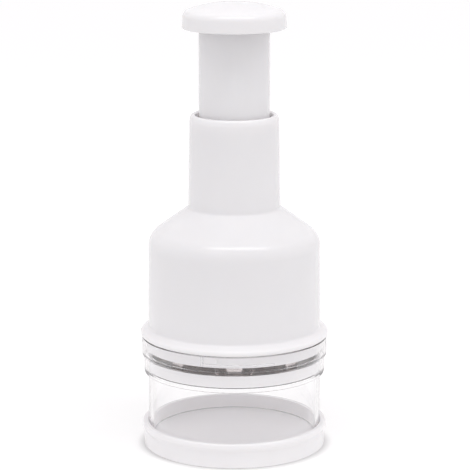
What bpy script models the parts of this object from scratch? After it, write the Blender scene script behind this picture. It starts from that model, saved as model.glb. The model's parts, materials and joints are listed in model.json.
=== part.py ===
"""Garlic chopper: a sprung plunger presses folded blades through a turning scraper plate.

Run it with blender --background --python part.py, or from the text editor.
Lengths are in metres, +Z is up, and the origin is the centre of the base's underside.
The front of the chopper faces -Y. Angles round it are measured from the front, towards +X.
"""

import math

import bmesh
import bpy

MM = 0.001

# Clearances, shared by all pieces
GAP = 0.3 * MM
OVERRUN = 0.8 * MM
MERGE = 0.005 * MM

# Fineness of the round shapes
LARGE_STEPS = 48
MEDIUM_STEPS = 36
SMALL_STEPS = 14
ARC_STEPS = 3

# Base cap
BASE_WALL = 1.9 * MM
BASE_HEIGHT = 11.8 * MM
BASE_FLOOR = 2.2 * MM
BASE_RECESS = 2.8 * MM
BASE_FOOT_WIDTH = 2.6 * MM
BASE_EDGE_ROUND = 0.7 * MM
BASE_BEAD_PROUD = 0.8 * MM
BASE_BEAD_HEIGHT = 3.0 * MM

# Clear cup, with the seat of the scraper plate and the collar of the bayonet above it
CUP_R = 41.3 * MM
CUP_WALL = 1.9 * MM
CUP_BODY_LENGTH = 31.2 * MM
CUP_LEDGE = 1.9 * MM
CUP_SEAT_STEP = 0.45 * MM
CUP_SEAT_WALL = 1.55 * MM
CUP_SEAT_LENGTH = 8.5 * MM
CUP_COLLAR_STEP = 1.35 * MM
CUP_COLLAR_WALL = 1.2 * MM
CUP_COLLAR_LENGTH = 9.05 * MM
CUP_COLLAR_LEDGE = 1.5 * MM
CUP_EDGE_ROUND = 0.3 * MM

# Bayonet: lugs on the housing's skirt, which stand on rails inside the cup's collar
BAYONET_COUNT = 3
LUG_START = math.radians(-19.3)
LUG_SPAN = math.radians(8.6)
LUG_STEPS = 2
LUG_PROUD = 0.6 * MM
LUG_HEIGHT = 3.3 * MM
LUG_ABOVE_EDGE = 2.0 * MM
RAIL_SPAN = math.radians(45)
RAIL_STEPS = 9
RAIL_HEIGHT = 0.9 * MM
RAIL_STOP_SPAN = math.radians(1.6)
BAYONET_ROOT = 0.5 * MM

# Scraper plate
SCRAPER_RIM_WALL = 2.1 * MM
SCRAPER_RIM_HEIGHT = 5.7 * MM
SCRAPER_WEB_DROP = 0.8 * MM
SCRAPER_WEB = 2.0 * MM
SCRAPER_SLOT_CLEARANCE = 0.4 * MM

# Folded blades
BLADE_THICKNESS = 0.8 * MM
BLADE_CLEARANCE = 2.2 * MM
BLADE_NOSE_WIDTH = 7.3 * MM
BLADE_FOLD_DEPTH = 16.3 * MM
BLADE_FOLD_ROUND = 1.5 * MM
BLADE_PITCH = math.radians(47)
BLADE_END_X = 6.0 * MM
BLADE_END_Y = 3.5 * MM
BLADE_TUCK = 0.4 * MM
BLADE_FLOOR_CLEARANCE = 0.4 * MM
BLADE_ROOT = 2.6 * MM
TURN_PER_PRESS = math.radians(30)

# Blade holder and its screw
HOLDER_DISC = 4.0 * MM
HOLDER_EDGE = 1.3 * MM
HOLDER_CLEARANCE = 1.5 * MM
HOLDER_HUB_WALL = 1.8 * MM
HOLDER_HUB_HEIGHT = 8.5 * MM
HOLDER_SCREW_RECESS = 0.8 * MM
HOLDER_SCREW_WEB = 0.9 * MM
HOLDER_SCREW_R = 1.5 * MM
HOLDER_SCREW_LENGTH = 9.5 * MM
HOLDER_SCREW_HEAD_R = 3.4 * MM
HOLDER_SCREW_HEAD = 2.3 * MM

# Drive shaft, its washer and its clip
SHAFT_SIDE = 6.0 * MM
SHAFT_TWIST_LEAD_IN = 5.0 * MM
SHAFT_TWIST_STEP = 2.5 * MM
SHAFT_JOURNAL_R = 2.9 * MM
SHAFT_COLLAR_R = 4.6 * MM
SHAFT_COLLAR = 3.0 * MM
SHAFT_CLIP_NECK_R = 2.1 * MM
SHAFT_END = 1.3 * MM
WASHER_R = 6.5 * MM
WASHER_THICKNESS = 0.8 * MM
CLIP_R = 5.4 * MM
CLIP_THICKNESS = 0.8 * MM
CLIP_MOUTH = math.radians(70)

# Ratchet: a toothed ring, and a wheel whose sprung pawls catch in it
RATCHET_TEETH = 24
RATCHET_RING_R = 17.5 * MM
RATCHET_VALLEY_R = 14.6 * MM
RATCHET_TOOTH = 1.2 * MM
RATCHET_THICKNESS = 3.5 * MM
RATCHET_KEYS = 3
RATCHET_KEY = 1.0 * MM
RATCHET_KEY_SPAN = math.radians(12)
RATCHET_KEY_STEPS = 3
WHEEL_HUB_R = 8.2 * MM
WHEEL_JOURNAL_R = 6.9 * MM
WHEEL_TAIL = 3.4 * MM
WHEEL_ARM_R = 12.3 * MM
WHEEL_ARM_WIDTH = 1.4 * MM
WHEEL_ARM_SPAN = math.radians(96)
WHEEL_ARM_TIP = math.radians(11)
WHEEL_ARM_ROOT = math.radians(16)
WHEEL_ARMS = 2

# Carrier inside the housing, and the cover of the ratchet
CARRIER_DEPTH = 15.0 * MM
CARRIER_PLATE = 2.5 * MM
CARRIER_WALL = 2.0 * MM
CARRIER_RIM = 3.5 * MM
COVER_THICKNESS = 2.0 * MM
COVER_BOSS_WALL = 1.7 * MM
COVER_BOSS_HEIGHT = 1.5 * MM
SCREW_COUNT = 3
COVER_SCREW_R = 1.0 * MM
COVER_SCREW_LENGTH = 5.0 * MM
COVER_SCREW_HEAD_R = 1.9 * MM
COVER_SCREW_HEAD = 1.5 * MM
COVER_POST_WALL = 1.3 * MM
CARRIER_SCREW_R = 1.5 * MM
CARRIER_SCREW_GRIP = 6.5 * MM
CARRIER_SCREW_HEAD_R = 2.7 * MM
CARRIER_SCREW_HEAD = 2.3 * MM
BOSS_WALL = 1.7 * MM

# Housing: skirt, lip, bell, shoulder and neck
SKIRT_DROP = 5.95 * MM
SKIRT_WALL = 2.0 * MM
LIP_PROUD = 0.7 * MM
LIP_SIDE = 1.2 * MM
LIP_ROUND = 1.6 * MM
LIP_EDGE_ROUND = 1.1 * MM
LIP_SLOPE = math.radians(35)
BELL_INSET = 0.9 * MM
BELL_DRAFT = 0.4 * MM
BELL_HEIGHT = 62.15 * MM
HOUSING_WALL = 2.0 * MM
SHOULDER_SLOPE = math.radians(36)
SHOULDER_ROUND = 9.8 * MM
NECK_WALL = 1.95 * MM
NECK_DRAFT = 0.75 * MM
NECK_RIM_DEPTH = 5.8 * MM
NECK_RIM_OPENING = 1.65 * MM
NECK_ROUND_WIDTH = 1.5 * MM
NECK_ROUND_HEIGHT = 3.4 * MM
NECK_INNER_ROUND = 0.7 * MM

# Guide bush in the neck
BUSH_WALL = 1.85 * MM
BUSH_LENGTH = 8.7 * MM

# Plunger tube
TUBE_R = 16.75 * MM
TUBE_WALL = 1.85 * MM
TUBE_FLANGE = 3.7 * MM
TUBE_WEB = 3.0 * MM
TUBE_WEB_BELOW_KNOB = 13.5 * MM
PRESS_MARGIN = 1.5 * MM

# Knob
KNOB_R = 24.3 * MM
KNOB_DRAFT = 0.3 * MM
KNOB_HEIGHT = 12.6 * MM
KNOB_DOME = 4.7 * MM
KNOB_ROUND = 3.8 * MM
KNOB_EDGE_ROUND = 0.8 * MM
KNOB_WALL = 2.2 * MM
KNOB_STOP_GAP = 7.8 * MM
KNOB_PLUG_WALL = 2.0 * MM
KNOB_PLUG_LENGTH = 6.5 * MM

# Return spring
SPRING_WIRE_R = 0.8 * MM
SPRING_R = 12.4 * MM
SPRING_TURNS = 8
SPRING_END_TURNS = 1
SPRING_POINTS_PER_TURN = 12

# Heights worked out from the base upwards
FLOOR_TOP = BASE_RECESS + BASE_FLOOR
CUP_BOTTOM = FLOOR_TOP + GAP
SEAT_UNDERSIDE = CUP_BOTTOM + CUP_BODY_LENGTH
SEAT_TOP = SEAT_UNDERSIDE + CUP_LEDGE
COLLAR_UNDERSIDE = SEAT_UNDERSIDE + CUP_SEAT_LENGTH
CUP_TOP = COLLAR_UNDERSIDE + CUP_COLLAR_LENGTH
LIP_UNDERSIDE = CUP_TOP + GAP
SKIRT_BOTTOM = LIP_UNDERSIDE - SKIRT_DROP
LUG_BOTTOM = SKIRT_BOTTOM + LUG_ABOVE_EDGE
LUG_TOP = LUG_BOTTOM + LUG_HEIGHT
RAIL_TOP = LUG_BOTTOM - GAP
NECK_BASE = LIP_UNDERSIDE + BELL_HEIGHT

SCRAPER_BOTTOM = SEAT_TOP + GAP
SCRAPER_TOP = SCRAPER_BOTTOM + SCRAPER_RIM_HEIGHT
WEB_BOTTOM = SCRAPER_BOTTOM - SCRAPER_WEB_DROP
WEB_TOP = WEB_BOTTOM + SCRAPER_WEB
BLADE_EDGE = WEB_BOTTOM + BLADE_TUCK
STROKE = BLADE_EDGE - FLOOR_TOP - BLADE_FLOOR_CLEARANCE
TWIST_RATE = -TURN_PER_PRESS / STROKE

HOLDER_BOTTOM = WEB_TOP + HOLDER_CLEARANCE + STROKE
HOLDER_TOP = HOLDER_BOTTOM + HOLDER_DISC
HUB_TOP = HOLDER_TOP + HOLDER_HUB_HEIGHT
BLADE_TOP = HOLDER_BOTTOM + BLADE_ROOT
HOLDER_SCREW_HEAD_BOTTOM = HOLDER_BOTTOM + HOLDER_SCREW_RECESS
HOLDER_SCREW_HEAD_TOP = HOLDER_SCREW_HEAD_BOTTOM + HOLDER_SCREW_HEAD
SCREW_WEB_BOTTOM = HOLDER_SCREW_HEAD_TOP + GAP
SCREW_WEB_TOP = SCREW_WEB_BOTTOM + HOLDER_SCREW_WEB
SHAFT_BOTTOM = SCREW_WEB_TOP + GAP

CARRIER_TOP = NECK_BASE - CARRIER_DEPTH
CARRIER_BOTTOM = CARRIER_TOP - CARRIER_PLATE
RATCHET_BOTTOM = CARRIER_TOP + GAP
RATCHET_TOP = RATCHET_BOTTOM + RATCHET_THICKNESS
COVER_BOTTOM = RATCHET_TOP + GAP
COVER_TOP = COVER_BOTTOM + COVER_THICKNESS
WHEEL_BOTTOM = RATCHET_BOTTOM - WHEEL_TAIL
WHEEL_TOP = COVER_TOP - GAP

FLANGE_BOTTOM = COVER_TOP + PRESS_MARGIN + STROKE
FLANGE_TOP = FLANGE_BOTTOM + TUBE_FLANGE
BUSH_BOTTOM = FLANGE_TOP + GAP
BUSH_TOP = BUSH_BOTTOM + BUSH_LENGTH
NECK_LEDGE = BUSH_TOP + GAP
NECK_TOP = NECK_LEDGE + NECK_RIM_DEPTH
KNOB_BOTTOM = NECK_TOP + STROKE + KNOB_STOP_GAP
KNOB_TOP = KNOB_BOTTOM + KNOB_HEIGHT

TUBE_WEB_BOTTOM = KNOB_BOTTOM - TUBE_WEB_BELOW_KNOB
TUBE_WEB_TOP = TUBE_WEB_BOTTOM + TUBE_WEB
WASHER_BOTTOM = TUBE_WEB_TOP + GAP
WASHER_TOP = WASHER_BOTTOM + WASHER_THICKNESS
CLIP_BOTTOM = WASHER_TOP + GAP
CLIP_TOP = CLIP_BOTTOM + CLIP_THICKNESS
SHAFT_TOP = CLIP_TOP + GAP + SHAFT_END
SHAFT_COLLAR_TOP = TUBE_WEB_BOTTOM - GAP
SHAFT_COLLAR_BOTTOM = SHAFT_COLLAR_TOP - SHAFT_COLLAR
SHAFT_TWIST_BOTTOM = WHEEL_BOTTOM - SHAFT_TWIST_LEAD_IN
SHAFT_TWIST_TOP = WHEEL_TOP + STROKE + GAP

# Radii worked out from the cup and the tube outwards
CUP_BORE = CUP_R - CUP_WALL
SEAT_BORE = CUP_R + CUP_SEAT_STEP
SEAT_R = SEAT_BORE + CUP_SEAT_WALL
COLLAR_BORE = SEAT_BORE + CUP_COLLAR_STEP
COLLAR_R = COLLAR_BORE + CUP_COLLAR_WALL
SKIRT_R = COLLAR_BORE - GAP - LUG_PROUD
SKIRT_BORE = SKIRT_R - SKIRT_WALL
LIP_R = COLLAR_R + LIP_PROUD
BELL_BOTTOM_R = SKIRT_R - BELL_INSET
BELL_TOP_R = BELL_BOTTOM_R - BELL_DRAFT
BASE_BORE = CUP_R + GAP
BASE_R = BASE_BORE + BASE_WALL
BASE_BEAD_R = BASE_R + BASE_BEAD_PROUD
SCRAPER_R = SEAT_BORE - GAP
SCRAPER_RIM_BORE = SCRAPER_R - SCRAPER_RIM_WALL
WEB_R = CUP_BORE - GAP

BLADE_NOSE_R = CUP_BORE - BLADE_CLEARANCE - BLADE_THICKNESS / 2
BLADE_FOLD_R = BLADE_NOSE_R - BLADE_FOLD_DEPTH
HOLDER_R = BLADE_NOSE_R + BLADE_THICKNESS / 2 + HOLDER_EDGE
HUB_R = SHAFT_SIDE / math.sqrt(2) + GAP + HOLDER_HUB_WALL

TUBE_BORE = TUBE_R - TUBE_WALL
BUSH_BORE = TUBE_R + GAP
BUSH_R = BUSH_BORE + BUSH_WALL
NECK_BORE = BUSH_R + GAP
NECK_TOP_R = NECK_BORE + NECK_WALL
NECK_BASE_R = NECK_TOP_R + NECK_DRAFT
NECK_RIM_BORE = TUBE_R + NECK_RIM_OPENING

CARRIER_BORE = RATCHET_RING_R + GAP
CARRIER_CUP_R = CARRIER_BORE + CARRIER_WALL
JOURNAL_BORE = WHEEL_JOURNAL_R + GAP
SPRING_CHORD_R = SPRING_R * math.cos(math.pi / SPRING_POINTS_PER_TURN)
COVER_BOSS_R = SPRING_CHORD_R - SPRING_WIRE_R - GAP
COVER_POST_R = COVER_SCREW_R + GAP + COVER_POST_WALL
COVER_SCREW_CIRCLE = CARRIER_CUP_R - CARRIER_WALL / 2 + COVER_POST_R
BOSS_R = CARRIER_SCREW_R + GAP + BOSS_WALL
CARRIER_SCREW_CIRCLE = COVER_SCREW_CIRCLE + COVER_POST_R + CARRIER_SCREW_R
CARRIER_R = CARRIER_SCREW_CIRCLE + CARRIER_RIM

# Places of the screws round the axis, from the front
COVER_SCREW_START = math.radians(60)
CARRIER_SCREW_START = math.radians(0)


def clear_scene():
    for obj in list(bpy.data.objects):
        bpy.data.objects.remove(obj)
    for collection in list(bpy.data.collections):
        bpy.data.collections.remove(collection)


def new_collection(name):
    collection = bpy.data.collections.new(name)
    bpy.context.scene.collection.children.link(collection)
    return collection


clear_scene()
pieces = new_collection("garlic_chopper")
cutters = new_collection("cutters")


def around(radius, angle):
    """The point at this radius and this angle from the front, towards +X."""
    return radius * math.sin(angle), -radius * math.cos(angle)


def circle(radius, steps):
    turns = [2 * math.pi * step / steps for step in range(steps)]
    return [(radius * math.cos(turn), radius * math.sin(turn)) for turn in turns]


def arc(centre, radii, start, end, steps=ARC_STEPS):
    """Points along an arc, or along part of an ellipse where the two radii differ."""
    turns = [start + (end - start) * step / steps for step in range(steps + 1)]
    return [(centre[0] + radii[0] * math.cos(turn), centre[1] + radii[1] * math.sin(turn)) for turn in turns]


def sector(inner, outer, start, span, steps):
    """The outline of a piece of a ring between two angles from the front."""
    turns = [start + span * step / steps for step in range(steps + 1)]
    outside = [around(outer, turn) for turn in turns]
    inside = [around(inner, turn) for turn in reversed(turns)]
    return outside + inside


def put(name, mesh, collection=pieces):
    obj = bpy.data.objects.new(name, mesh)
    collection.objects.link(obj)
    return obj


def turned(name, profile, steps=LARGE_STEPS, collection=pieces):
    """A turned solid. Its profile of radii and heights runs down the outside and up the inside."""
    mesh = bpy.data.meshes.new(name)
    count = len(profile)
    on_axis = profile[0][0] == 0 and profile[-1][0] == 0
    edges = [(index, (index + 1) % count) for index in range(count - 1 if on_axis else count)]
    mesh.from_pydata([(radius, 0, height) for radius, height in profile], edges, [])
    obj = put(name, mesh, collection)
    screw = obj.modifiers.new("Turn", "SCREW")
    screw.axis = "Z"
    screw.steps = steps
    screw.render_steps = steps
    screw.use_merge_vertices = True
    screw.merge_threshold = MERGE
    return obj


def cylinder(name, radius, bottom, top, centre=(0, 0), steps=SMALL_STEPS, collection=cutters):
    mesh = bpy.data.meshes.new(name)
    shape = bmesh.new()
    bmesh.ops.create_cone(
        shape, cap_ends=True, segments=steps, radius1=radius, radius2=radius, depth=top - bottom
    )
    bmesh.ops.translate(shape, verts=shape.verts, vec=(centre[0], centre[1], (bottom + top) / 2))
    shape.to_mesh(mesh)
    shape.free()
    return put(name, mesh, collection)


def as_mesh(obj, collection=pieces):
    """A welded mesh object in place of a curve, or of an object with modifiers."""
    bpy.context.view_layer.update()
    evaluated = obj.evaluated_get(bpy.context.evaluated_depsgraph_get())
    mesh = bpy.data.meshes.new_from_object(evaluated)
    shape = bmesh.new()
    shape.from_mesh(mesh)
    bmesh.ops.remove_doubles(shape, verts=shape.verts, dist=MERGE)
    bmesh.ops.recalc_face_normals(shape, faces=shape.faces)
    shape.to_mesh(mesh)
    shape.free()
    name, place = obj.name, obj.matrix_world.copy()
    bpy.data.objects.remove(obj)
    made = put(name, mesh, collection)
    made.matrix_world = place
    return made


def plate(name, outlines, bottom, top, collection=pieces):
    """A flat solid from closed outlines. One that lies inside another is a hole in it."""
    curve = bpy.data.curves.new(name, "CURVE")
    curve.dimensions = "2D"
    curve.fill_mode = "BOTH"
    curve.extrude = (top - bottom) / 2
    for outline in outlines:
        spline = curve.splines.new("POLY")
        spline.points.add(len(outline) - 1)
        spline.use_cyclic_u = True
        for point, (x, y) in zip(spline.points, outline):
            point.co = (x, y, 0, 1)
    obj = put(name, curve, collection)
    obj.location.z = (bottom + top) / 2
    return as_mesh(obj, collection)


def combine(obj, other, operation):
    other.hide_render = True
    other.display_type = "WIRE"
    modifier = obj.modifiers.new(other.name, "BOOLEAN")
    modifier.operation = operation
    modifier.solver = "EXACT"
    modifier.object = other


def cut(obj, cutter):
    combine(obj, cutter, "DIFFERENCE")


def join(obj, piece):
    combine(obj, piece, "UNION")


def finish(obj, look):
    """Gives the piece its own material, and smooth shading up to its real edges."""
    colour, roughness, metallic, clearness = look
    material = bpy.data.materials.new(obj.name)
    material.use_nodes = True
    shader = material.node_tree.nodes["Principled BSDF"]
    shader.inputs["Base Color"].default_value = (*colour, 1)
    shader.inputs["Roughness"].default_value = roughness
    shader.inputs["Metallic"].default_value = metallic
    shader.inputs["Transmission Weight"].default_value = clearness
    obj.data.materials.clear()
    obj.data.materials.append(material)
    if obj.type == "MESH":
        obj.data.shade_smooth()
    return obj


def twist_at(height):
    """How far the drive shaft's square section has turned at this height."""
    return TWIST_RATE * (min(max(height, SHAFT_TWIST_BOTTOM), SHAFT_TWIST_TOP) - SHAFT_TWIST_BOTTOM)


def twisted_bar(name, side, bottom, top, collection=cutters):
    """A square bar whose section turns with height, as the drive shaft's does."""
    bar = cylinder(name, side / math.sqrt(2), bottom, top, steps=4, collection=collection)
    shape = bmesh.new()
    shape.from_mesh(bar.data)
    steps = max(1, round((top - bottom) / SHAFT_TWIST_STEP))
    for step in range(1, steps):
        level = bottom + (top - bottom) * step / steps
        parts = shape.verts[:] + shape.edges[:] + shape.faces[:]
        bmesh.ops.bisect_plane(shape, geom=parts, plane_co=(0, 0, level), plane_no=(0, 0, 1))
    for vert in shape.verts:
        angle = twist_at(vert.co.z)
        x, y = vert.co.x, vert.co.y
        vert.co.x = x * math.cos(angle) - y * math.sin(angle)
        vert.co.y = x * math.sin(angle) + y * math.cos(angle)
    shape.to_mesh(bar.data)
    shape.free()
    return bar


def blade_corners():
    """The folds of one blade strip in plan: three flat noses, with two folds between them."""
    corners = [(-BLADE_END_X, -BLADE_END_Y)]
    for place in (-1, 0, 1):
        angle = place * BLADE_PITCH
        x, y = around(BLADE_NOSE_R, angle)
        for side in (-1, 1):
            reach = side * BLADE_NOSE_WIDTH / 2
            corners.append((x + reach * math.cos(angle), y + reach * math.sin(angle)))
        if place < 1:
            corners.append(around(BLADE_FOLD_R, angle + BLADE_PITCH / 2))
    corners.append((BLADE_END_X, -BLADE_END_Y))
    return corners


def unit(start, end):
    length = math.dist(start, end)
    return (end[0] - start[0]) / length, (end[1] - start[1]) / length


def folded_path(corners, radius):
    """The corners joined by straight runs, with each bend rounded to this radius."""
    path = [corners[0]]
    for before, corner, after in zip(corners, corners[1:], corners[2:]):
        ahead, onward = unit(before, corner), unit(corner, after)
        bend = math.atan2(
            ahead[0] * onward[1] - ahead[1] * onward[0], ahead[0] * onward[0] + ahead[1] * onward[1]
        )
        reach = radius * math.tan(abs(bend) / 2)
        side = math.copysign(radius, bend)
        begin = (corner[0] - ahead[0] * reach, corner[1] - ahead[1] * reach)
        centre = (begin[0] - ahead[1] * side, begin[1] + ahead[0] * side)
        first = math.atan2(begin[1] - centre[1], begin[0] - centre[0])
        path += arc(centre, (radius, radius), first, first + bend)
    return path + [corners[-1]]


def ribbon(path, width, extra):
    """The outline of a strip of this width along the path, with both ends longer by the extra."""
    first, last = unit(path[1], path[0]), unit(path[-2], path[-1])
    start = (path[0][0] + first[0] * extra, path[0][1] + first[1] * extra)
    end = (path[-1][0] + last[0] * extra, path[-1][1] + last[1] * extra)
    points = [start, *path[1:-1], end]
    left, right = [], []
    for index, (x, y) in enumerate(points):
        ahead = unit(points[max(index - 1, 0)], points[max(index, 1)])
        onward = unit(points[min(index, len(points) - 2)], points[min(index + 1, len(points) - 1)])
        across = (-ahead[1] - onward[1], ahead[0] + onward[0])
        stretch = width / (across[0] ** 2 + across[1] ** 2)
        left.append((x + across[0] * stretch, y + across[1] * stretch))
        right.append((x - across[0] * stretch, y - across[1] * stretch))
    return left + right[::-1]


def blade_outline(clearance):
    path = folded_path(blade_corners(), BLADE_FOLD_ROUND)
    return ribbon(path, BLADE_THICKNESS + 2 * clearance, clearance)


def half_turn(outline):
    return [(-x, -y) for x, y in outline]


def cut_blade_slots(obj, clearance, bottom, top):
    """Slots for both blade strips, with this clearance all round."""
    outline = blade_outline(clearance)
    cut(obj, plate(obj.name + "_slot_front", [outline], bottom, top, cutters))
    cut(obj, plate(obj.name + "_slot_back", [half_turn(outline)], bottom, top, cutters))


def screw_places(circle_r, start):
    angles = [start + 2 * math.pi * index / SCREW_COUNT for index in range(SCREW_COUNT)]
    return [around(circle_r, angle) for angle in angles]


def drill(obj, radius, places, bottom, top):
    for index, place in enumerate(places):
        cut(obj, cylinder(f"{obj.name}_hole_{radius / MM:.1f}_{index}", radius, bottom, top, place))


def screw(name, shank_r, length, head_r, head):
    """A pan head screw with a hexagonal socket. Its shank stands on the origin and points up."""
    profile = [(0, length), (shank_r, length), (shank_r, 0), (head_r, 0)]
    profile += [(head_r, -head / 2), (head_r - head / 2, -head), (0, -head)]
    made = turned(name, profile, SMALL_STEPS)
    cut(made, cylinder(name + "_socket", head_r / 2, -head - OVERRUN, -head / 2, steps=6))
    return as_mesh(made)


def screw_set(name, first, places, height, turned_over):
    """Copies of one screw at the places, with their heads against this height."""
    made = []
    for index, (x, y) in enumerate(places):
        obj = put(f"{name}_{index + 1}", first.data)
        obj.location = (x, y, height)
        obj.rotation_euler.x = math.pi if turned_over else 0
        made.append(obj)
    bpy.data.objects.remove(first)
    return made


def base_cap():
    foot_bore = BASE_R - BASE_FOOT_WIDTH
    bead_bottom = BASE_HEIGHT - BASE_BEAD_HEIGHT
    edge = BASE_EDGE_ROUND
    profile = [(0, FLOOR_TOP), (BASE_BORE, FLOOR_TOP), (BASE_BORE, BASE_HEIGHT)]
    profile += arc((BASE_BEAD_R - edge, BASE_HEIGHT - edge), (edge, edge), math.pi / 2, 0, 2)
    profile += [(BASE_BEAD_R, bead_bottom + BASE_BEAD_PROUD), (BASE_R, bead_bottom)]
    profile += arc((BASE_R - edge, edge), (edge, edge), 0, -math.pi / 2, 2)
    profile += [(foot_bore, 0), (foot_bore, BASE_RECESS), (0, BASE_RECESS)]
    return turned("base_cap", profile)


def cup():
    edge = CUP_EDGE_ROUND
    profile = arc((COLLAR_R - edge, CUP_TOP - edge), (edge, edge), math.pi / 2, 0, 2)
    profile += arc((COLLAR_R - edge, COLLAR_UNDERSIDE + edge), (edge, edge), 0, -math.pi / 2, 2)
    profile += [(SEAT_R, COLLAR_UNDERSIDE)]
    profile += arc((SEAT_R - edge, SEAT_UNDERSIDE + edge), (edge, edge), 0, -math.pi / 2, 2)
    profile += [(CUP_R, SEAT_UNDERSIDE), (CUP_R, CUP_BOTTOM), (CUP_BORE, CUP_BOTTOM)]
    profile += [(CUP_BORE, SEAT_TOP), (SEAT_BORE, SEAT_TOP)]
    profile += [(SEAT_BORE, COLLAR_UNDERSIDE + CUP_COLLAR_LEDGE)]
    profile += [(COLLAR_BORE, COLLAR_UNDERSIDE + CUP_COLLAR_LEDGE), (COLLAR_BORE, CUP_TOP)]
    made = turned("cup", profile)
    add_rails(made)
    return made


def add_rails(collar):
    """Rails inside the collar, each with a stop where the housing's lug comes to rest."""
    inner, outer = SKIRT_R + GAP, COLLAR_BORE + BAYONET_ROOT
    bottom = RAIL_TOP - RAIL_HEIGHT
    for index in range(BAYONET_COUNT):
        rest = LUG_START - GAP / SKIRT_R + 2 * math.pi * index / BAYONET_COUNT
        root = rest - RAIL_STOP_SPAN / 2
        rail = sector(inner, outer, root, rest + RAIL_SPAN - root, RAIL_STEPS)
        stop = sector(inner, outer, rest - RAIL_STOP_SPAN, RAIL_STOP_SPAN, 1)
        join(collar, plate(f"rail_{index}", [rail], bottom, RAIL_TOP, cutters))
        join(collar, plate(f"rail_stop_{index}", [stop], bottom, LUG_TOP, cutters))


def scraper_plate():
    profile = [(0, WEB_TOP), (SCRAPER_RIM_BORE, WEB_TOP), (SCRAPER_RIM_BORE, SCRAPER_TOP)]
    profile += [(SCRAPER_R, SCRAPER_TOP), (SCRAPER_R, SCRAPER_BOTTOM), (WEB_R, SCRAPER_BOTTOM)]
    profile += [(WEB_R, WEB_BOTTOM), (0, WEB_BOTTOM)]
    made = turned("scraper_plate", profile)
    cut_blade_slots(made, SCRAPER_SLOT_CLEARANCE, WEB_BOTTOM - OVERRUN, WEB_TOP + OVERRUN)
    return made


def blades():
    outline = blade_outline(0)
    return [
        plate("blade_front", [outline], BLADE_EDGE, BLADE_TOP),
        plate("blade_back", [half_turn(outline)], BLADE_EDGE, BLADE_TOP),
    ]


def blade_holder():
    profile = [(0, HUB_TOP), (HUB_R, HUB_TOP), (HUB_R, HOLDER_TOP), (HOLDER_R, HOLDER_TOP)]
    profile += [(HOLDER_R, HOLDER_BOTTOM), (0, HOLDER_BOTTOM)]
    made = turned("blade_holder", profile)
    cut_blade_slots(made, GAP, HOLDER_BOTTOM - OVERRUN, BLADE_TOP + GAP)
    head_r = HOLDER_SCREW_HEAD_R + GAP
    drill(made, head_r, [(0, 0)], HOLDER_BOTTOM - OVERRUN, SCREW_WEB_BOTTOM)
    drill(made, HOLDER_SCREW_R + GAP, [(0, 0)], SCREW_WEB_BOTTOM - OVERRUN, SHAFT_BOTTOM)
    cut(made, twisted_bar("holder_socket", SHAFT_SIDE + 2 * GAP, SCREW_WEB_TOP, HUB_TOP + OVERRUN))
    return made


def holder_screw():
    made = screw(
        "holder_screw", HOLDER_SCREW_R, HOLDER_SCREW_LENGTH, HOLDER_SCREW_HEAD_R, HOLDER_SCREW_HEAD
    )
    made.location.z = HOLDER_SCREW_HEAD_TOP
    return made


def drive_shaft():
    made = twisted_bar("drive_shaft", SHAFT_SIDE, SHAFT_BOTTOM, SHAFT_TWIST_TOP, pieces)
    neck_bottom, neck_top = WASHER_TOP - GAP, CLIP_TOP + GAP
    journal_r, neck_r = SHAFT_JOURNAL_R, SHAFT_CLIP_NECK_R
    profile = [(0, SHAFT_TOP), (journal_r, SHAFT_TOP), (journal_r, neck_top), (neck_r, neck_top)]
    profile += [(neck_r, neck_bottom), (journal_r, neck_bottom), (journal_r, SHAFT_COLLAR_TOP)]
    profile += [(SHAFT_COLLAR_R, SHAFT_COLLAR_TOP), (SHAFT_COLLAR_R, SHAFT_COLLAR_BOTTOM)]
    root = SHAFT_TWIST_TOP - SHAFT_TWIST_STEP
    profile += [(journal_r, SHAFT_COLLAR_BOTTOM), (journal_r, root), (0, root)]
    join(made, turned("shaft_journal", profile, SMALL_STEPS, cutters))
    hole_top = HOLDER_SCREW_HEAD_TOP + HOLDER_SCREW_LENGTH + GAP
    drill(made, HOLDER_SCREW_R + GAP, [(0, 0)], SHAFT_BOTTOM - OVERRUN, hole_top)
    return made


def thrust_washer():
    bore = SHAFT_JOURNAL_R + GAP
    outlines = [circle(WASHER_R, SMALL_STEPS), circle(bore, SMALL_STEPS)]
    return plate("thrust_washer", outlines, WASHER_BOTTOM, WASHER_TOP)


def shaft_clip():
    outline = sector(SHAFT_CLIP_NECK_R + GAP, CLIP_R, CLIP_MOUTH / 2, 2 * math.pi - CLIP_MOUTH, SMALL_STEPS)
    return plate("shaft_clip", [outline], CLIP_BOTTOM, CLIP_TOP)


def keyed_circle():
    """The ring's outer outline: a circle with keys that stop it from turning in the carrier."""
    outline = []
    pitch = 2 * math.pi / RATCHET_KEYS
    steps = MEDIUM_STEPS // RATCHET_KEYS
    for key in range(RATCHET_KEYS):
        start = key * pitch - RATCHET_KEY_SPAN / 2
        outline += [around(RATCHET_RING_R + RATCHET_KEY, start + RATCHET_KEY_SPAN * end) for end in (0, 1)]
        first = start + RATCHET_KEY_SPAN
        step_angle = (pitch - RATCHET_KEY_SPAN) / steps
        outline += [around(RATCHET_RING_R, first + step_angle * step) for step in range(steps + 1)]
    return outline


def ratchet_ring():
    """The keyed circle, and an inner outline whose teeth fall steeply and rise slowly."""
    tip_r = RATCHET_VALLEY_R - RATCHET_TOOTH
    teeth = []
    for tooth in range(RATCHET_TEETH):
        angle = 2 * math.pi * tooth / RATCHET_TEETH
        teeth += [around(tip_r, angle), around(RATCHET_VALLEY_R, angle)]
    return plate("ratchet_ring", [keyed_circle(), teeth], RATCHET_BOTTOM, RATCHET_TOP)


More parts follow.
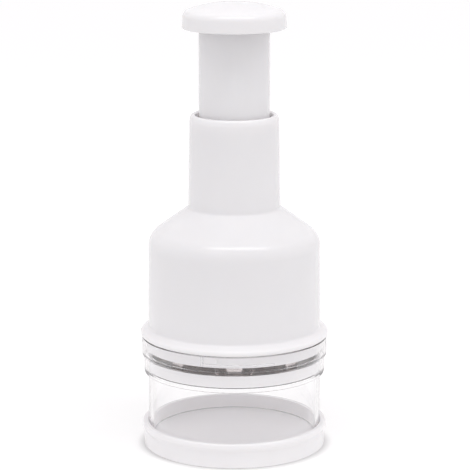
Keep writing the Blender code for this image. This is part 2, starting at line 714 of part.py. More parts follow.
def pawl_wheel():
    """A hub with sprung arms. Each arm's tip stands against the steep side of a tooth."""
    tooth = 2 * math.pi / RATCHET_TEETH
    tip = GAP / RATCHET_VALLEY_R
    tip_r = RATCHET_VALLEY_R - RATCHET_TOOTH * tip / tooth - GAP
    under_r = WHEEL_ARM_R - WHEEL_ARM_WIDTH
    steps = 3 * ARC_STEPS
    outline = []
    for arm in range(WHEEL_ARMS):
        start = 2 * math.pi * arm / WHEEL_ARMS + tip
        end = start + WHEEL_ARM_SPAN
        next_start = start + 2 * math.pi / WHEEL_ARMS
        outline += [around(under_r, end - (end - start) * step / steps) for step in range(steps + 1)]
        outline += [around(tip_r, start)]
        first = start + WHEEL_ARM_TIP
        last = end + WHEEL_ARM_ROOT / 2
        outline += [around(WHEEL_ARM_R, first + (last - first) * step / steps) for step in range(steps + 1)]
        first = end + WHEEL_ARM_ROOT
        last = next_start + WHEEL_ARM_SPAN
        outline += [around(WHEEL_HUB_R, first + (last - first) * step / steps) for step in range(steps + 1)]
    made = plate("pawl_wheel", [outline], RATCHET_BOTTOM, RATCHET_TOP)
    join(made, cylinder("wheel_journals", WHEEL_JOURNAL_R, WHEEL_BOTTOM, WHEEL_TOP))
    bottom, top = WHEEL_BOTTOM - OVERRUN, WHEEL_TOP + OVERRUN
    cut(made, twisted_bar("wheel_socket", SHAFT_SIDE + 2 * GAP, bottom, top))
    return made


def carrier():
    profile = [(CARRIER_CUP_R, RATCHET_TOP), (CARRIER_CUP_R, CARRIER_TOP), (CARRIER_R, CARRIER_TOP)]
    profile += [(CARRIER_R, CARRIER_BOTTOM), (JOURNAL_BORE, CARRIER_BOTTOM)]
    profile += [(JOURNAL_BORE, CARRIER_TOP), (CARRIER_BORE, CARRIER_TOP), (CARRIER_BORE, RATCHET_TOP)]
    made = turned("carrier", profile, MEDIUM_STEPS)
    side_gap = GAP / RATCHET_RING_R
    span = RATCHET_KEY_SPAN + 2 * side_gap
    outer = CARRIER_BORE + RATCHET_KEY
    for key in range(RATCHET_KEYS):
        start = 2 * math.pi * key / RATCHET_KEYS - span / 2
        keyway = sector(CARRIER_BORE - OVERRUN, outer, start, span, RATCHET_KEY_STEPS)
        cut(made, plate(f"carrier_keyway_{key}", [keyway], CARRIER_TOP, RATCHET_TOP + OVERRUN, cutters))
    posts = screw_places(COVER_SCREW_CIRCLE, COVER_SCREW_START)
    for index, place in enumerate(posts):
        root = CARRIER_BOTTOM + CARRIER_PLATE / 2
        join(made, cylinder(f"carrier_post_{index}", COVER_POST_R, root, RATCHET_TOP, place))
    depth = COVER_TOP - COVER_SCREW_LENGTH - GAP
    drill(made, COVER_SCREW_R + GAP, posts, depth, RATCHET_TOP + OVERRUN)
    holes = screw_places(CARRIER_SCREW_CIRCLE, CARRIER_SCREW_START)
    drill(made, CARRIER_SCREW_R + GAP, holes, CARRIER_BOTTOM - OVERRUN, CARRIER_TOP + OVERRUN)
    return made


def ratchet_cover():
    boss_bore = COVER_BOSS_R - COVER_BOSS_WALL
    boss_top = COVER_TOP + COVER_BOSS_HEIGHT
    profile = [(COVER_BOSS_R, boss_top), (COVER_BOSS_R, COVER_TOP), (CARRIER_CUP_R, COVER_TOP)]
    profile += [(CARRIER_CUP_R, COVER_BOTTOM), (JOURNAL_BORE, COVER_BOTTOM)]
    profile += [(JOURNAL_BORE, COVER_TOP), (boss_bore, COVER_TOP), (boss_bore, boss_top)]
    made = turned("ratchet_cover", profile, MEDIUM_STEPS)
    places = screw_places(COVER_SCREW_CIRCLE, COVER_SCREW_START)
    for index, place in enumerate(places):
        join(made, cylinder(f"cover_ear_{index}", COVER_POST_R, COVER_BOTTOM, COVER_TOP, place))
    drill(made, COVER_SCREW_R + GAP, places, COVER_BOTTOM - OVERRUN, COVER_TOP + OVERRUN)
    return made


def cover_screws():
    first = screw("cover_screw", COVER_SCREW_R, COVER_SCREW_LENGTH, COVER_SCREW_HEAD_R, COVER_SCREW_HEAD)
    places = screw_places(COVER_SCREW_CIRCLE, COVER_SCREW_START)
    return screw_set("cover_screw", first, places, COVER_TOP + GAP, True)


def carrier_screws():
    length = CARRIER_PLATE + CARRIER_SCREW_GRIP
    first = screw("carrier_screw", CARRIER_SCREW_R, length, CARRIER_SCREW_HEAD_R, CARRIER_SCREW_HEAD)
    places = screw_places(CARRIER_SCREW_CIRCLE, CARRIER_SCREW_START)
    return screw_set("carrier_screw", first, places, CARRIER_BOTTOM - GAP, False)


def shoulder_height(radius, depth):
    """The height of the shoulder's cone at this radius, and this deep under its outer face."""
    return NECK_BASE - (radius - NECK_BASE_R) * math.tan(SHOULDER_SLOPE) - depth / math.cos(SHOULDER_SLOPE)


def housing_boss(name, place):
    """A screw boss whose top follows the middle of the shoulder's wall."""
    made = cylinder(name, BOSS_R, CARRIER_TOP + GAP, NECK_BASE, place)
    for vert in made.data.vertices:
        if vert.co.z > (CARRIER_TOP + NECK_BASE) / 2:
            vert.co.z = shoulder_height(math.hypot(vert.co.x, vert.co.y), HOUSING_WALL / 2)
    return made


def housing_shell():
    corner_r = BELL_TOP_R - SHOULDER_ROUND
    corner_rise = (corner_r - NECK_BASE_R) * math.sin(SHOULDER_SLOPE) + SHOULDER_ROUND
    corner = (corner_r, NECK_BASE - corner_rise / math.cos(SHOULDER_SLOPE))
    slope_end = math.pi / 2 - SHOULDER_SLOPE
    outer_round, inner_round = SHOULDER_ROUND, SHOULDER_ROUND - HOUSING_WALL
    rim_crest = (NECK_TOP_R - NECK_ROUND_WIDTH, NECK_TOP - NECK_ROUND_HEIGHT)
    inner_crest = (NECK_RIM_BORE + NECK_INNER_ROUND, NECK_TOP - NECK_INNER_ROUND)
    lip_centre = (LIP_R - LIP_ROUND, LIP_UNDERSIDE + LIP_SIDE)
    lip = arc(lip_centre, (LIP_ROUND, LIP_ROUND), math.pi / 2 - LIP_SLOPE, 0)
    lip_top = lip[0][1] + (lip[0][0] - BELL_BOTTOM_R) * math.tan(LIP_SLOPE)
    edge_centre = (LIP_R - LIP_EDGE_ROUND, LIP_UNDERSIDE + LIP_EDGE_ROUND)
    profile = arc(rim_crest, (NECK_ROUND_WIDTH, NECK_ROUND_HEIGHT), math.pi / 2, 0)
    profile += [(NECK_BASE_R, NECK_BASE)]
    profile += arc(corner, (outer_round, outer_round), slope_end, 0)
    profile += [(BELL_BOTTOM_R, lip_top)]
    profile += lip
    profile += arc(edge_centre, (LIP_EDGE_ROUND, LIP_EDGE_ROUND), 0, -math.pi / 2, 2)
    profile += [(SKIRT_R, LIP_UNDERSIDE), (SKIRT_R, SKIRT_BOTTOM), (SKIRT_BORE, SKIRT_BOTTOM)]
    profile += [(SKIRT_BORE, LIP_UNDERSIDE), (BELL_BOTTOM_R - HOUSING_WALL, lip_top)]
    profile += arc(corner, (inner_round, inner_round), 0, slope_end)
    profile += [(NECK_BORE, shoulder_height(NECK_BORE, HOUSING_WALL))]
    profile += [(NECK_BORE, NECK_LEDGE), (NECK_RIM_BORE, NECK_LEDGE)]
    profile += arc(inner_crest, (NECK_INNER_ROUND, NECK_INNER_ROUND), math.pi, math.pi / 2, 2)
    made = turned("housing_shell", profile)
    places = screw_places(CARRIER_SCREW_CIRCLE, CARRIER_SCREW_START)
    for index, place in enumerate(places):
        join(made, housing_boss(f"housing_boss_{index}", place))
    drill(made, CARRIER_SCREW_R + GAP, places, CARRIER_TOP, CARRIER_TOP + CARRIER_SCREW_GRIP + GAP)
    for index in range(BAYONET_COUNT):
        start = LUG_START + 2 * math.pi * index / BAYONET_COUNT
        lug = sector(SKIRT_R - BAYONET_ROOT, SKIRT_R + LUG_PROUD, start, LUG_SPAN, LUG_STEPS)
        join(made, plate(f"bayonet_lug_{index}", [lug], LUG_BOTTOM, LUG_TOP, cutters))
    return made


def neck_bush():
    profile = [(BUSH_R, BUSH_TOP), (BUSH_R, BUSH_BOTTOM), (BUSH_BORE, BUSH_BOTTOM), (BUSH_BORE, BUSH_TOP)]
    return turned("neck_bush", profile, MEDIUM_STEPS)


def dome_inside(radius):
    """The height of the inner face of the knob's dome at this radius."""
    dome_r = (KNOB_R**2 + KNOB_DOME**2) / (2 * KNOB_DOME)
    return KNOB_TOP - dome_r + math.sqrt((dome_r - KNOB_WALL) ** 2 - radius**2)


def plunger_tube():
    hole = SHAFT_JOURNAL_R + GAP
    top = dome_inside(TUBE_R) - GAP
    profile = [(TUBE_R, top), (TUBE_R, FLANGE_TOP), (BUSH_R, FLANGE_TOP), (BUSH_R, FLANGE_BOTTOM)]
    profile += [(TUBE_BORE, FLANGE_BOTTOM), (TUBE_BORE, TUBE_WEB_BOTTOM), (hole, TUBE_WEB_BOTTOM)]
    profile += [(hole, TUBE_WEB_TOP), (TUBE_BORE, TUBE_WEB_TOP), (TUBE_BORE, top)]
    return turned("plunger_tube", profile, MEDIUM_STEPS)


def knob_cap():
    dome_r = (KNOB_R**2 + KNOB_DOME**2) / (2 * KNOB_DOME)
    dome = (0, KNOB_TOP - dome_r)
    corner_r = KNOB_R - KNOB_ROUND
    corner = (corner_r, dome[1] + math.sqrt((dome_r - KNOB_ROUND) ** 2 - corner_r**2))
    dome_end = math.atan2(corner[1] - dome[1], corner[0])
    inner_round = KNOB_ROUND - KNOB_WALL
    foot_r = KNOB_R + KNOB_DRAFT
    edge_centre = (foot_r - KNOB_EDGE_ROUND, KNOB_BOTTOM + KNOB_EDGE_ROUND)
    plug_r = TUBE_BORE - GAP
    plug_bore = plug_r - KNOB_PLUG_WALL
    plug_bottom = KNOB_BOTTOM - KNOB_PLUG_LENGTH
    profile = arc(dome, (dome_r, dome_r), math.pi / 2, dome_end, 6)[:-1]
    profile += arc(corner, (KNOB_ROUND, KNOB_ROUND), dome_end, 0)
    profile += arc(edge_centre, (KNOB_EDGE_ROUND, KNOB_EDGE_ROUND), 0, -math.pi / 2, 2)
    profile += [(foot_r - KNOB_WALL, KNOB_BOTTOM)]
    profile += arc(corner, (inner_round, inner_round), 0, dome_end, 2)
    profile += [(plug_r, dome_inside(plug_r)), (plug_r, plug_bottom), (plug_bore, plug_bottom)]
    profile += [(plug_bore, dome_inside(plug_bore)), (0, KNOB_TOP - KNOB_WALL)]
    return turned("knob_cap", profile, MEDIUM_STEPS)


def return_spring():
    """A wound wire: close end turns at top and bottom, and open turns between them."""
    bottom = COVER_TOP + GAP + SPRING_WIRE_R
    top = TUBE_WEB_BOTTOM - GAP - SPRING_WIRE_R
    end_pitch = 2 * SPRING_WIRE_R + GAP
    open_pitch = (top - bottom - 2 * SPRING_END_TURNS * end_pitch) / SPRING_TURNS
    turns = SPRING_TURNS + 2 * SPRING_END_TURNS
    curve = bpy.data.curves.new("return_spring", "CURVE")
    curve.dimensions = "3D"
    curve.bevel_depth = SPRING_WIRE_R
    curve.bevel_resolution = 2
    curve.use_fill_caps = True
    spline = curve.splines.new("POLY")
    count = turns * SPRING_POINTS_PER_TURN
    spline.points.add(count)
    for index, point in enumerate(spline.points):
        turn = index / SPRING_POINTS_PER_TURN
        below = min(turn, SPRING_END_TURNS)
        above = max(turn - SPRING_END_TURNS - SPRING_TURNS, 0)
        height = bottom + (below + above) * end_pitch + (turn - below - above) * open_pitch
        point.co = (*around(SPRING_R, 2 * math.pi * turn), height, 1)
    return put("return_spring", curve)


# Looks: colour, roughness, metallic and clearness
WHITE = ((0.86, 0.86, 0.88), 0.35, 0, 0)
MILKY = ((0.78, 0.78, 0.76), 0.45, 0, 0)
CLEAR = ((0.95, 0.95, 0.95), 0.05, 0, 1)
STEEL = ((0.62, 0.61, 0.60), 0.28, 1, 0)


def body(name, parent, looks):
    """An empty on the axis that all the joints share, with the pieces that move with it."""
    axis = put(name, None)
    axis.parent = parent
    for made, look in looks:
        for obj in made if isinstance(made, list) else [made]:
            finish(obj, look)
            obj.parent = axis
    return axis


def main():
    base = body("base_axis", None, [(base_cap(), WHITE)])
    cup_axis = body("cup_axis", base, [(cup(), CLEAR)])
    inside = [(neck_bush(), MILKY), (carrier(), MILKY), (ratchet_ring(), MILKY), (ratchet_cover(), MILKY)]
    inside += [(carrier_screws(), STEEL), (cover_screws(), STEEL), (return_spring(), STEEL)]
    housing = body("housing_axis", cup_axis, [(housing_shell(), WHITE), *inside])
    ratchet = body("ratchet_axis", housing, [(pawl_wheel(), MILKY)])
    body("scraper_axis", ratchet, [(scraper_plate(), WHITE)])
    tube = [(plunger_tube(), WHITE), (knob_cap(), WHITE)]
    plunger = body("plunger_axis", ratchet, [*tube, (thrust_washer(), STEEL), (shaft_clip(), STEEL)])
    cutting = [(blades(), STEEL), (blade_holder(), MILKY)]
    body("blade_axis", plunger, [*cutting, (holder_screw(), STEEL), (drive_shaft(), STEEL)])
    cutters.hide_render = True


main()
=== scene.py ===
"""Garlic chopper, dressed, on a pale stage.

Fine mouldings, folded blades, a turned shaft and a wound spring take the place of the CAD pieces.
Lengths are in metres, +Z is up, and the front of the chopper faces -Y, as in the frame.
Angles round the chopper are measured from the front, towards +X.
"""

import json
import math

import bmesh
import bpy
from bpy.props import FloatProperty, FloatVectorProperty, IntProperty, PointerProperty
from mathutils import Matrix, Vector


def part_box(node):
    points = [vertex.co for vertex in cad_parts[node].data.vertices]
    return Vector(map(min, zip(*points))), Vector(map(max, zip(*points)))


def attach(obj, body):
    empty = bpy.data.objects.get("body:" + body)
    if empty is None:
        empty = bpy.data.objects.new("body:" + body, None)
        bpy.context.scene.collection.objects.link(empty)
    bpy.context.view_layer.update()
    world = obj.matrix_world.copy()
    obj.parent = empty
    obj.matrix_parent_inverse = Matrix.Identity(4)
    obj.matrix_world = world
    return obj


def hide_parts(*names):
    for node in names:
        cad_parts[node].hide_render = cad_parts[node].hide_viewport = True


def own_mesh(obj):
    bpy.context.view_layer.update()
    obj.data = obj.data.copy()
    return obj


bl_info = {
    "name": "Garlic Chopper",
    "version": (1, 0, 0),
    "blender": (4, 5, 0),
    "location": "View3D > Sidebar > Garlic Chopper",
    "description": "Builds the mouldings, blades, spring and finishes of a press garlic chopper",
    "category": "Object",
}

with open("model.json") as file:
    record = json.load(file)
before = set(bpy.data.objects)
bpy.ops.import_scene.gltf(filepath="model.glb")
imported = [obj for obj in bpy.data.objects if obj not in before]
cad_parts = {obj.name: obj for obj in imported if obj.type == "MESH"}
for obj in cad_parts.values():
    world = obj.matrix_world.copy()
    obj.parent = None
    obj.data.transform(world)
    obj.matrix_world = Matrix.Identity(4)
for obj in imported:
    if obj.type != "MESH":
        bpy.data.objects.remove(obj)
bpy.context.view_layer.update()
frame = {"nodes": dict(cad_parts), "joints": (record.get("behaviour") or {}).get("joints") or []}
NODES = frame["nodes"]

MM = 0.001
FULL_TURN = 2 * math.pi
QUARTER = math.pi / 2

# Points closer together than this are one point
SAME_PLACE = 0.001 * MM

# Edges that bend more than this stay crisp under smooth shading
CREASE = math.radians(32)
BLADE_CREASE = math.radians(12)
WIRE_CREASE = math.radians(60)

# The photograph's focal length and width, in pixels
FOCAL_PIXELS = 2280
PICTURE_PIXELS = 470

# Heights and radii that the frame gives
BASE_LOW, BASE_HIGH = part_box("base_cap")
CUP_LOW, CUP_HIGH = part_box("cup")
PLATE_LOW, PLATE_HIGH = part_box("scraper_plate")
HOUSING_LOW, HOUSING_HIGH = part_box("housing_shell")
BUSH_LOW, BUSH_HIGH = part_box("neck_bush")
TUBE_LOW, TUBE_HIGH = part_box("plunger_tube")
KNOB_LOW, KNOB_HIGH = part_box("knob_cap")
BLADE_LOW, BLADE_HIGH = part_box("blade_front")
HOLDER_LOW, HOLDER_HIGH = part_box("blade_holder")
SHAFT_LOW, SHAFT_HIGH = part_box("drive_shaft")
SPRING_LOW, SPRING_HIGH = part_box("return_spring")
CARRIER_LOW, CARRIER_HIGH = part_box("carrier")
WHEEL_LOW, WHEEL_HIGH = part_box("pawl_wheel")
WASHER_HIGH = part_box("thrust_washer")[1]
CLIP_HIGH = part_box("shaft_clip")[1]
PRESS = next(joint for joint in frame["joints"] if joint["name"] == "press")
STROKE = PRESS["range_m"][1]


def length(name, default, description):
    return FloatProperty(
        name=name, description=description, default=default, unit="LENGTH", precision=5
    )


def angle(name, default, description):
    return FloatProperty(name=name, description=description, default=default, unit="ROTATION")


def share(name, default, description):
    return FloatProperty(
        name=name, description=description, default=default, min=0, max=1, subtype="FACTOR"
    )


def amount(name, default, description):
    return FloatProperty(name=name, description=description, default=default, min=0)


def count(name, default, description):
    return IntProperty(name=name, description=description, default=default, min=1)


def colour(name, default, description):
    return FloatVectorProperty(
        name=name, description=description, default=default, subtype="COLOR", size=3, min=0, max=1
    )


def position(name, default, description):
    return FloatVectorProperty(
        name=name, description=description, default=default, subtype="TRANSLATION", unit="LENGTH"
    )


class ChopperShapes(bpy.types.PropertyGroup):
    """What all the mouldings share."""

    gap: length("Gap", 0.3 * MM, "Clearance between pieces that fit together")
    overrun: length("Overrun", 0.8 * MM, "How far a cutter reaches past what it cuts")
    lathe_steps: count("Lathe steps", 144, "Facets round a turned moulding")
    round_steps: count("Round steps", 4, "Facets in the rounding of an edge")
    fine_edge: length("Fine edge", 0.15 * MM, "Rounding of a hidden or a crisp edge")
    soft_edge: length("Soft edge", 0.4 * MM, "Rounding of an edge that fingers touch")


class BaseCapSizes(bpy.types.PropertyGroup):
    """The base cap under the clear cup."""

    wall: length("Wall", 1.9 * MM, "Wall round the foot of the cup")
    bead: length("Bead", 0.8 * MM, "How far the bead stands out round the top edge")
    bead_height: length("Bead height", 3.0 * MM, "Height of the bead")
    bead_round: length("Bead rounding", 1.0 * MM, "Rounding of the bead's top edge")
    bead_blend: length("Bead blend", 1.4 * MM, "Rounding with which the bead runs into the wall")
    recess: length("Recess", 2.8 * MM, "Depth of the hollow inside the foot ring")
    floor: length("Floor", 2.2 * MM, "Thickness of the floor")
    foot_width: length("Foot width", 2.6 * MM, "Width of the foot ring")
    foot_round: length("Foot rounding", 0.7 * MM, "Rounding of the foot ring's outer edge")


class CupSizes(bpy.types.PropertyGroup):
    """The clear cup, from its straight body up to the collar of the bayonet."""

    radius: length("Radius", 41.3 * MM, "Outer radius of the body")
    wall: length("Wall", 1.9 * MM, "Wall of the body")
    body_length: length("Body length", 31.2 * MM, "Height of the body")
    ledge: length("Ledge", 1.9 * MM, "Thickness of the ledge under the scraper plate")
    seat_step: length("Seat step", 0.45 * MM, "How much wider the seat's bore is than the body")
    seat_wall: length("Seat wall", 1.55 * MM, "Wall of the seat")
    seat_length: length("Seat length", 8.5 * MM, "Height of the seat")
    collar_step: length("Collar step", 1.35 * MM, "How much wider the collar's bore is")
    collar_ledge: length("Collar ledge", 1.5 * MM, "Thickness of the ledge under the collar")
    rail_span: angle("Rail span", math.radians(45), "Angle that a bayonet rail takes up")
    rail_steps: count("Rail steps", 24, "Facets round a rail")
    rail_height: length("Rail height", 0.9 * MM, "Height of a rail")
    corner_lean: share("Corner lean", 0.03, "How far, at least, a rounded corner leans")
    stop_span: angle("Stop span", math.radians(1.6), "Angle that the stop at a rail's end takes up")


class HousingSizes(bpy.types.PropertyGroup):
    """The bell-shaped housing: skirt, lip, bell, shoulder and neck."""

    skirt_drop: length("Skirt drop", 5.95 * MM, "How far the skirt reaches into the cup's collar")
    skirt_wall: length("Skirt wall", 2.0 * MM, "Wall of the skirt")
    lip_side: length("Lip side", 1.2 * MM, "Height of the lip's upright side")
    lip_round: length("Lip rounding", 1.6 * MM, "Rounding of the lip's upper side")
    lip_edge: length("Lip edge", 1.1 * MM, "Rounding of the lip's lower edge")
    lip_slope: angle("Lip slope", math.radians(35), "Slope of the lip where it leaves the bell")
    lip_foot: length("Lip foot", 1.5 * MM, "Fillet between bell and lip")
    bell_inset: length("Bell inset", 0.9 * MM, "How much narrower than the skirt the bell starts")
    bell_draft: length("Bell draft", 0.4 * MM, "How much the bell narrows upwards")
    bell_height: length("Bell height", 62.15 * MM, "Height of bell and shoulder over the collar")
    wall: length("Wall", 2.0 * MM, "Wall of bell and shoulder")
    shoulder_slope: angle("Shoulder slope", math.radians(36), "Slope of the shoulder")
    shoulder_round: length("Shoulder rounding", 9.8 * MM, "Rounding between bell and shoulder")
    neck_foot_fillet: length("Neck foot fillet", 1.6 * MM, "Fillet between shoulder and neck")
    neck_wall: length("Neck wall", 1.95 * MM, "Wall of the neck at its top")
    neck_draft: length("Neck draft", 0.75 * MM, "How much the neck widens downwards")
    rim_bore: length("Rim bore", 18.4 * MM, "Radius of the opening in the neck's rim")
    rim_width: length("Rim width", 1.5 * MM, "Width of the rounding of the neck's rim")
    rim_height: length("Rim height", 3.4 * MM, "Height of the rounding of the neck's rim")
    rim_inner_round: length("Inner rim rounding", 0.7 * MM, "Rounding of the rim's inner edge")
    arc_steps: count("Arc steps", 14, "Facets in a large rounding")
    lugs: count("Lugs", 3, "Bayonet lugs round the skirt")
    lug_start: angle("Lug start", math.radians(-19.3), "Where the first lug starts")
    lug_span: angle("Lug span", math.radians(8.6), "Angle that a lug takes up")
    lug_steps: count("Lug steps", 8, "Facets round a lug")
    lug_proud: length("Lug depth", 0.6 * MM, "How far a lug stands out of the skirt")
    lug_rise: length("Lug rise", 2.0 * MM, "Height of a lug over the skirt's lower edge")
    lug_height: length("Lug height", 3.3 * MM, "Height of a lug")
    lug_edge: length("Lug edge", 0.3 * MM, "Rounding of a lug's corners")


class HousingBossSizes(bpy.types.PropertyGroup):
    """The bosses inside the housing that the carrier is screwed to."""

    count: count("Bosses", 3, "Bosses round the housing")
    circle: length("Circle", 25.5 * MM, "Radius of the circle of bosses")
    radius: length("Radius", 3.5 * MM, "Outer radius of a boss")
    bore: length("Bore", 1.8 * MM, "Radius of a boss's screw hole")
    depth: length("Depth", 6.8 * MM, "Depth of a boss's screw hole")
    carrier_plate: length("Carrier plate", 2.5 * MM, "Thickness of the carrier under the bosses")
    steps: count("Steps", 28, "Facets round a boss")


class PlungerSizes(bpy.types.PropertyGroup):
    """The plunger tube and the knob on it."""

    radius: length("Radius", 16.75 * MM, "Outer radius of the tube")
    wall: length("Wall", 1.85 * MM, "Wall of the tube")
    flange: length("Flange", 3.7 * MM, "Height of the flange that stops the tube in the neck")
    web: length("Web", 3.0 * MM, "Thickness of the web inside the tube")
    web_drop: length("Web drop", 13.5 * MM, "How far under the knob's edge the web starts")
    web_hole: length("Web hole", 3.2 * MM, "Radius of the hole for the drive shaft")
    knob_draft: length("Knob draft", 0.3 * MM, "How much the knob widens downwards")
    knob_height: length("Knob height", 12.6 * MM, "Height of the knob over its lower edge")
    knob_dome: length("Knob dome", 4.7 * MM, "Rise of the dome over its edge")
    knob_round: length("Knob rounding", 3.8 * MM, "Rounding between dome and side")
    knob_edge: length("Knob edge", 0.8 * MM, "Rounding of the lower edge")
    knob_wall: length("Knob wall", 2.2 * MM, "Wall of the knob")
    plug_wall: length("Plug wall", 2.0 * MM, "Wall of the plug inside the tube")
    dome_steps: count("Dome steps", 24, "Facets across the dome")


class PlateSizes(bpy.types.PropertyGroup):
    """The scraper plate that the blades pass through."""

    rim_wall: length("Rim wall", 2.1 * MM, "Wall of the rim")
    web_drop: length("Web drop", 0.8 * MM, "How far the web hangs below the rim")
    web: length("Web", 2.0 * MM, "Thickness of the web")
    slot_clearance: length("Slot clearance", 0.4 * MM, "Clearance round the blades")


class BladeSizes(bpy.types.PropertyGroup):
    """The folded blade strips."""

    thickness: length("Thickness", 0.8 * MM, "Thickness of the strip")
    nose_radius: length("Nose radius", 36.8 * MM, "Distance of the noses from the axis")
    nose_width: length("Nose width", 7.3 * MM, "Width of a flat nose before its bends")
    fold_depth: length("Fold depth", 16.3 * MM, "How far the folds between the noses reach inwards")
    bend: length("Bend", 1.5 * MM, "Rounding of the bends")
    pitch: angle("Pitch", math.radians(47), "Angle between two noses")
    end_x: length("End X", 6.0 * MM, "Half the distance between the ends of a strip")
    end_y: length("End Y", 3.5 * MM, "Distance of the ends from the axis")
    bend_steps: count("Bend steps", 8, "Facets in a bend")
    ground: length("Ground edge", 2.2 * MM, "Height of the ground cutting edge")
    edge: length("Edge", 0.08 * MM, "Thickness left at the cutting edge")


class HolderSizes(bpy.types.PropertyGroup):
    """The disc that holds the blades on the drive shaft."""

    disc: length("Disc", 4.0 * MM, "Thickness of the disc")
    hub_wall: length("Hub wall", 1.8 * MM, "Wall of the hub round the shaft's corners")
    hub_fillet: length("Hub fillet", 0.8 * MM, "Fillet between hub and disc")
    screw_recess: length("Screw recess", 3.7 * MM, "Radius of the recess for the screw's head")
    screw_bore: length("Screw bore", 1.8 * MM, "Radius of the hole for the screw")
    screw_web: length("Screw web", 0.9 * MM, "Wall between the screw's head and the shaft")


class SteelSizes(bpy.types.PropertyGroup):
    """The drive shaft and the return spring."""

    shaft_side: length("Shaft side", 6.0 * MM, "Side of the square drive shaft")
    shaft_corner: length("Shaft corner", 0.35 * MM, "Rounding of the shaft's corners")
    journal: length("Journal", 2.9 * MM, "Radius of the shaft above its twist")
    collar: length("Collar", 4.6 * MM, "Radius of the shaft's collar")
    collar_height: length("Collar height", 3.0 * MM, "Height of the shaft's collar")
    clip_neck: length("Clip neck", 2.1 * MM, "Radius of the groove for the clip")
    screw_bore: length("Screw bore", 1.8 * MM, "Radius of the threaded hole in the shaft's foot")
    screw_depth: length("Screw depth", 8.0 * MM, "Depth of the threaded hole in the shaft's foot")
    lead_in: length("Lead-in", 5.0 * MM, "How far under the wheel the twist starts")
    turn: angle("Turn", math.radians(30), "How far a press turns the blades")
    shaft_levels: count("Shaft levels", 60, "Sections along the shaft")
    wire: length("Wire", 0.8 * MM, "Radius of the spring's wire")
    coil: length("Coil", 12.4 * MM, "Radius of the spring's coils")
    open_turns: count("Open turns", 8, "Turns that take up the stroke")
    end_turns: count("End turns", 1, "Close turns at each end")
    turn_steps: count("Turn steps", 40, "Points in one turn of the wire")
    wire_steps: count("Wire steps", 12, "Facets round the wire")


class ChopperFinishes(bpy.types.PropertyGroup):
    """Colours and surfaces."""

    white: colour("White", (0.94, 0.925, 0.935), "Moulded white plastic")
    white_shade: colour("White shade", (0.92, 0.902, 0.91), "Darker tone of the white plastic")
    milky: colour("Milky", (0.88, 0.87, 0.85), "Uncoloured inner plastic")
    milky_shade: colour("Milky shade", (0.83, 0.82, 0.79), "Darker tone of the inner plastic")
    clear: colour("Clear", (0.999, 0.998, 0.999), "Clear plastic")
    # Painted shade: the clear plastic takes this darker tint where it is seen edge-on
    painted_edge_shade: colour("Clear shade", (0.85, 0.82, 0.83), "Clear plastic that is seen edge-on")
    # Painted shade: the rounded corners of the clear plastic are tinted dark, and darker still where
    # they are seen edge-on
    clear_corner: colour("Clear corner", (0.5, 0.47, 0.48), "Rounded corners of the clear plastic")
    painted_corner_edge_shade: colour("Clear depth", (0.35, 0.32, 0.33), "Those corners seen edge-on")
    blade: colour("Blade", (0.8, 0.755, 0.75), "Rolled blade steel")
    blade_shade: colour("Blade shade", (0.68, 0.62, 0.615), "Darker streaks of the blade steel")
    steel: colour("Steel", (0.62, 0.61, 0.6), "Turned and wound steel")
    steel_shade: colour("Steel shade", (0.5, 0.49, 0.48), "Darker streaks of the steel")
    plastic_roughness: share("Plastic roughness", 0.22, "Roughness of the outer mouldings")
    inner_roughness: share("Inner roughness", 0.5, "Roughness of the inner mouldings")
    steel_roughness: share("Steel roughness", 0.24, "Roughness of rolled and turned steel")
    wire_roughness: share("Wire roughness", 0.3, "Roughness of the spring's wire")
    clear_roughness: share("Clear roughness", 0.02, "Roughness of the clear plastic")
    scatter: share("Scatter", 0.45, "Share of the light that scatters in the opaque plastics")
    scatter_reach: length("Scatter reach", 4.0 * MM, "How far light scatters in them")
    scatter_tint: colour("Scatter tint", (1, 0.95, 0.9), "Share of that reach for red, green and blue")
    plastic_ior: amount("Plastic IOR", 1.5, "Refraction of the opaque plastics")
    clear_ior: amount("Clear IOR", 1.49, "Refraction of the clear plastic")
    flow_share: share("Flow share", 0.05, "How much flow lines shift the clear plastic's tone")
    # Between these, the clear plastic's painted edge shade fades in
    edge_start: share("Edge start", 0.6, "How edge-on the clear plastic is where its shade starts")
    edge_end: share("Edge end", 0.95, "How edge-on the clear plastic is where its shade is whole")
    mould_relief: length("Mould relief", 0.006 * MM, "Depth of the waves in the opaque plastics")
    flow_relief: length("Flow relief", 0.01 * MM, "Depth of the flow lines in the clear plastic")
    steel_relief: length("Steel relief", 0.004 * MM, "Depth of the lines in the steel")
    wire_relief: length("Wire relief", 0.003 * MM, "Depth of the grain in the spring's wire")


